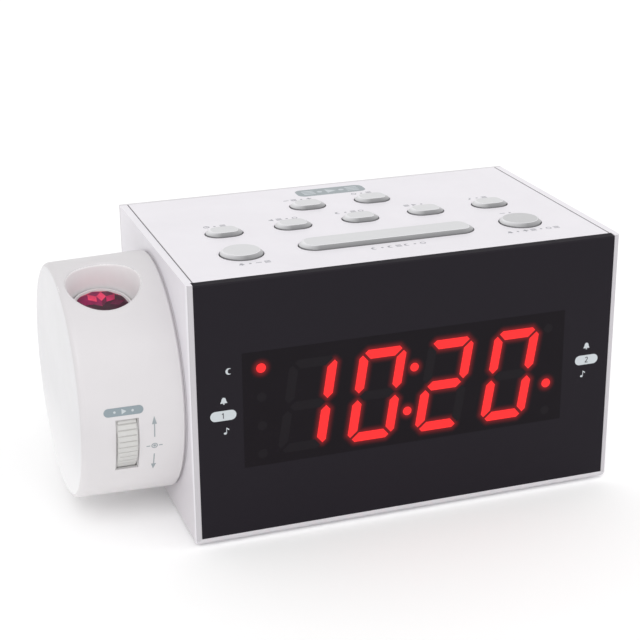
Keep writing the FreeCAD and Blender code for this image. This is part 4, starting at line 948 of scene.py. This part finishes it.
def make_lens():
    """The faceted lens, its facets in several reds of painted shade and painted highlight, and the ring that holds
    it.
    """
    corners = lens_rings(RING_PROFILE, BARREL_TOP, RING_STEPS)
    faces = ring_faces(len(RING_PROFILE), RING_STEPS, closed=True)
    add_piece("lens_ring", mesh_from("lens_ring", corners, faces),
              moulded("lens_ring", linear(208, 205, 206), 0.4), "barrel")
    corners = lens_rings(LENS_PROFILE, LENS_TOP, LENS_FACETS, turn=0.5)
    mesh = mesh_from("lens_facets", corners, facet_faces(len(LENS_PROFILE), LENS_FACETS))
    lens = add_piece("lens_facets", mesh, materials["tinted_lens"], "barrel")
    for number, red in enumerate(LENS_SHADED_REDS):
        mesh.materials.append(lens_red(number, linear(*red)))
    # Painted highlight and shade: facets towards the highlight's way get the brightest red, the rest darker reds
    # by how far they turn from it, and every second triangle is two reds darker.
    brightest = len(LENS_SHADED_REDS) - 1
    for number, polygon in enumerate(mesh.polygons):
        place = (number // 2 % LENS_FACETS + 0.5) / LENS_FACETS * 360
        off_middle = abs((place - LENS_HIGHLIGHT_WAY + 180) % 360 - 180)
        brightness = brightest - int(off_middle / LENS_HIGHLIGHT_STEP) - (number % 2) * 2
        polygon.material_index = 1 + max(brightness, 0)
    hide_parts("projector_lens")


make_lens()


# Display window: a dark sheet with faint unlit strokes and the lit strokes' soft edge light

def copied_strokes(name, node_name, material):
    """The strokes of a node again, as a thin layer just in front of the window."""
    work = bmesh.new()
    work.from_mesh(nodes[node_name].data)
    front_y = min(vert.co.y for vert in work.verts)
    thin = PRINT_LIFT * MM
    for vert in work.verts:
        share = 0.0 if vert.co.y < front_y + thin else 1.0
        vert.co.y = FRONT * MM + (share - 2) * thin
    bmesh.ops.remove_doubles(work, verts=work.verts, dist=1e-6)
    mesh = bpy.data.meshes.new(name)
    work.to_mesh(mesh)
    work.free()
    add_piece(name, mesh, material, "case")


def front_outlines(node_name):
    """X and Z outlines of a node's solids where they face the panel, in metres."""
    work = bmesh.new()
    work.from_mesh(nodes[node_name].data)
    bmesh.ops.remove_doubles(work, verts=work.verts, dist=1e-6)
    front_y = min(vert.co.y for vert in work.verts)
    edges = []
    for edge in work.edges:
        flat = all(abs(vert.co.y - front_y) < 1e-5 for vert in edge.verts)
        turned = any(abs(face.normal.y) < 0.5 for face in edge.link_faces)
        if flat and turned:
            first, second = edge.verts
            edges.append((first.co.x, first.co.z, second.co.x, second.co.z))
    work.free()
    return edges


def edge_distance(x, z, edges):
    """Distance from a point to the nearest of the edges."""
    nearest = 1.0
    for x0, z0, x1, z1 in edges:
        run_x = x1 - x0
        run_z = z1 - z0
        share = ((x - x0) * run_x + (z - z0) * run_z) / (run_x * run_x + run_z * run_z + 1e-18)
        share = min(max(share, 0.0), 1.0)
        nearest = min(nearest, math.hypot(x - x0 - share * run_x, z - z0 - share * run_z))
    return nearest


def window_finish():
    """Dark gloss that shows the red light held by the mesh."""
    material, tree, shader = new_material("window_dark")
    patches = noise(tree, texture_place(tree), 60.0, 3.0)
    tint = blend_colours(tree, spread(tree, patches, 0.0, 1.0), shade(WINDOW_DARK, 0.85),
                         WINDOW_DARK)
    tree.links.new(tint, shader.inputs["Base Color"])
    shader.inputs["Roughness"].default_value = 0.14
    shader.inputs["Specular IOR Level"].default_value = 0.12
    amount = tree.nodes.new("ShaderNodeAttribute")
    amount.attribute_name = "glow"
    light = blend_colours(tree, amount.outputs["Fac"], BLACK, GLOW_RED)
    tree.links.new(light, shader.inputs["Emission Color"])
    shader.inputs["Emission Strength"].default_value = 1.0
    return material


def make_window():
    """The darker window sheet; each corner of its grid holds how much red light it gets."""
    left, bottom, width, height = PANEL_WINDOW
    columns = int(width / GLOW_GRID)
    rows = int(height / GLOW_GRID)
    work = bmesh.new()
    grid = [[work.verts.new(on_front(left + width * column / columns,
                                     bottom + height * row / rows, PRINT_LIFT) * MM)
             for column in range(columns + 1)] for row in range(rows + 1)]
    for row in range(rows):
        for column in range(columns):
            work.faces.new((grid[row][column], grid[row][column + 1],
                            grid[row + 1][column + 1], grid[row + 1][column]))
    back = bmesh.ops.extrude_face_region(work, geom=work.faces[:])
    for element in back["geom"]:
        if isinstance(element, bmesh.types.BMVert):
            element.co.y = FRONT * MM
    bmesh.ops.recalc_face_normals(work, faces=work.faces)
    mesh = bpy.data.meshes.new("display_window")
    work.to_mesh(mesh)
    work.free()
    edges = front_outlines("lit_segments")
    glow = mesh.attributes.new("glow", "FLOAT", "POINT")
    for number, vert in enumerate(mesh.vertices):
        gap = edge_distance(vert.co.x, vert.co.z, edges) / MM
        glow.data[number].value = max(0.0, 1.0 - gap / GLOW_REACH) ** 2
    add_piece("display_window", mesh, window_finish(), "case")


make_window()
ghost_finish = moulded("ghost_stroke", linear(22, 18, 23), 0.2, specular=0.14)
copied_strokes("unlit_figures", "unlit_segments", ghost_finish)
copied_strokes("lit_figures", "lit_segments", materials["lit_segment"])


# Floor, light and camera

def make_floor():
    """A wide pale floor under the clock."""
    half = FLOOR_REACH
    mesh = bpy.data.meshes.new("floor")
    mesh.from_pydata([(-half, -half, 0), (half, -half, 0), (half, half, 0), (-half, half, 0)],
                     [], [(0, 1, 2, 3)])
    material, tree, shader = new_material("floor_white")
    shader.inputs["Base Color"].default_value = (FLOOR_SHADE, FLOOR_SHADE, FLOOR_SHADE, 1.0)
    shader.inputs["Roughness"].default_value = 1.0
    shader.inputs["Specular IOR Level"].default_value = 0.0
    shader.inputs["Emission Color"].default_value = (1.0, 1.0, 1.0, 1.0)
    shader.inputs["Emission Strength"].default_value = FLOOR_GLOW
    mesh.materials.append(material)
    floor = bpy.data.objects.new("floor", mesh)
    bpy.context.scene.collection.objects.link(floor)


def make_world():
    """Even light from all round, which the camera and shiny surfaces see as plain white."""
    world = bpy.data.worlds.new("studio")
    bpy.context.scene.world = world
    world.use_nodes = True
    tree = world.node_tree
    background = tree.nodes["Background"]
    background.inputs["Color"].default_value = (1.0, 1.0, 1.0, 1.0)
    path = tree.nodes.new("ShaderNodeLightPath")
    seen = tree.nodes.new("ShaderNodeMath")
    seen.operation = "MAXIMUM"
    tree.links.new(path.outputs["Is Camera Ray"], seen.inputs[0])
    tree.links.new(path.outputs["Is Glossy Ray"], seen.inputs[1])
    through = tree.nodes.new("ShaderNodeMath")
    through.operation = "MAXIMUM"
    tree.links.new(seen.outputs[0], through.inputs[0])
    tree.links.new(path.outputs["Is Transmission Ray"], through.inputs[1])
    strength = tree.nodes.new("ShaderNodeMapRange")
    strength.inputs["To Min"].default_value = AMBIENT
    strength.inputs["To Max"].default_value = 1.0
    tree.links.new(through.outputs[0], strength.inputs["Value"])
    tree.links.new(strength.outputs["Result"], background.inputs["Strength"])


def make_sun(name, toward, share, spread_angle):
    """A soft far lamp that shines from the given direction."""
    light = bpy.data.lights.new(name, "SUN")
    light.energy = math.pi * share
    light.angle = math.radians(spread_angle)
    lamp = bpy.data.objects.new(name, light)
    bpy.context.scene.collection.objects.link(lamp)
    lamp.rotation_mode = "QUATERNION"
    lamp.rotation_quaternion = Vector(toward).to_track_quat("Z", "Y")


def make_camera():
    """The camera at the photograph's viewing angle."""
    camera = bpy.data.cameras.new("camera")
    camera.lens = CAMERA_LENS
    camera.sensor_width = 36.0
    camera.clip_start = 0.01
    camera.clip_end = 100.0
    holder = bpy.data.objects.new("camera", camera)
    bpy.context.scene.collection.objects.link(holder)
    turn = math.radians(CAMERA_TURN)
    drop = math.radians(CAMERA_DROP)
    ahead = Vector((math.sin(turn) * math.cos(drop), math.cos(turn) * math.cos(drop),
                    -math.sin(drop)))
    aim = ahead.to_track_quat("-Z", "Y").to_matrix().to_4x4()
    roll = Matrix.Rotation(math.radians(CAMERA_ROLL), 4, "Z")
    holder.matrix_world = Matrix.Translation(CAMERA_PLACE) @ aim @ roll
    bpy.context.scene.camera = holder


make_floor()
make_world()
for lamp_name, toward, share, wide in LAMPS:
    make_sun(lamp_name, toward, share, wide)
make_camera()
bpy.context.scene.view_settings.view_transform = "Standard"
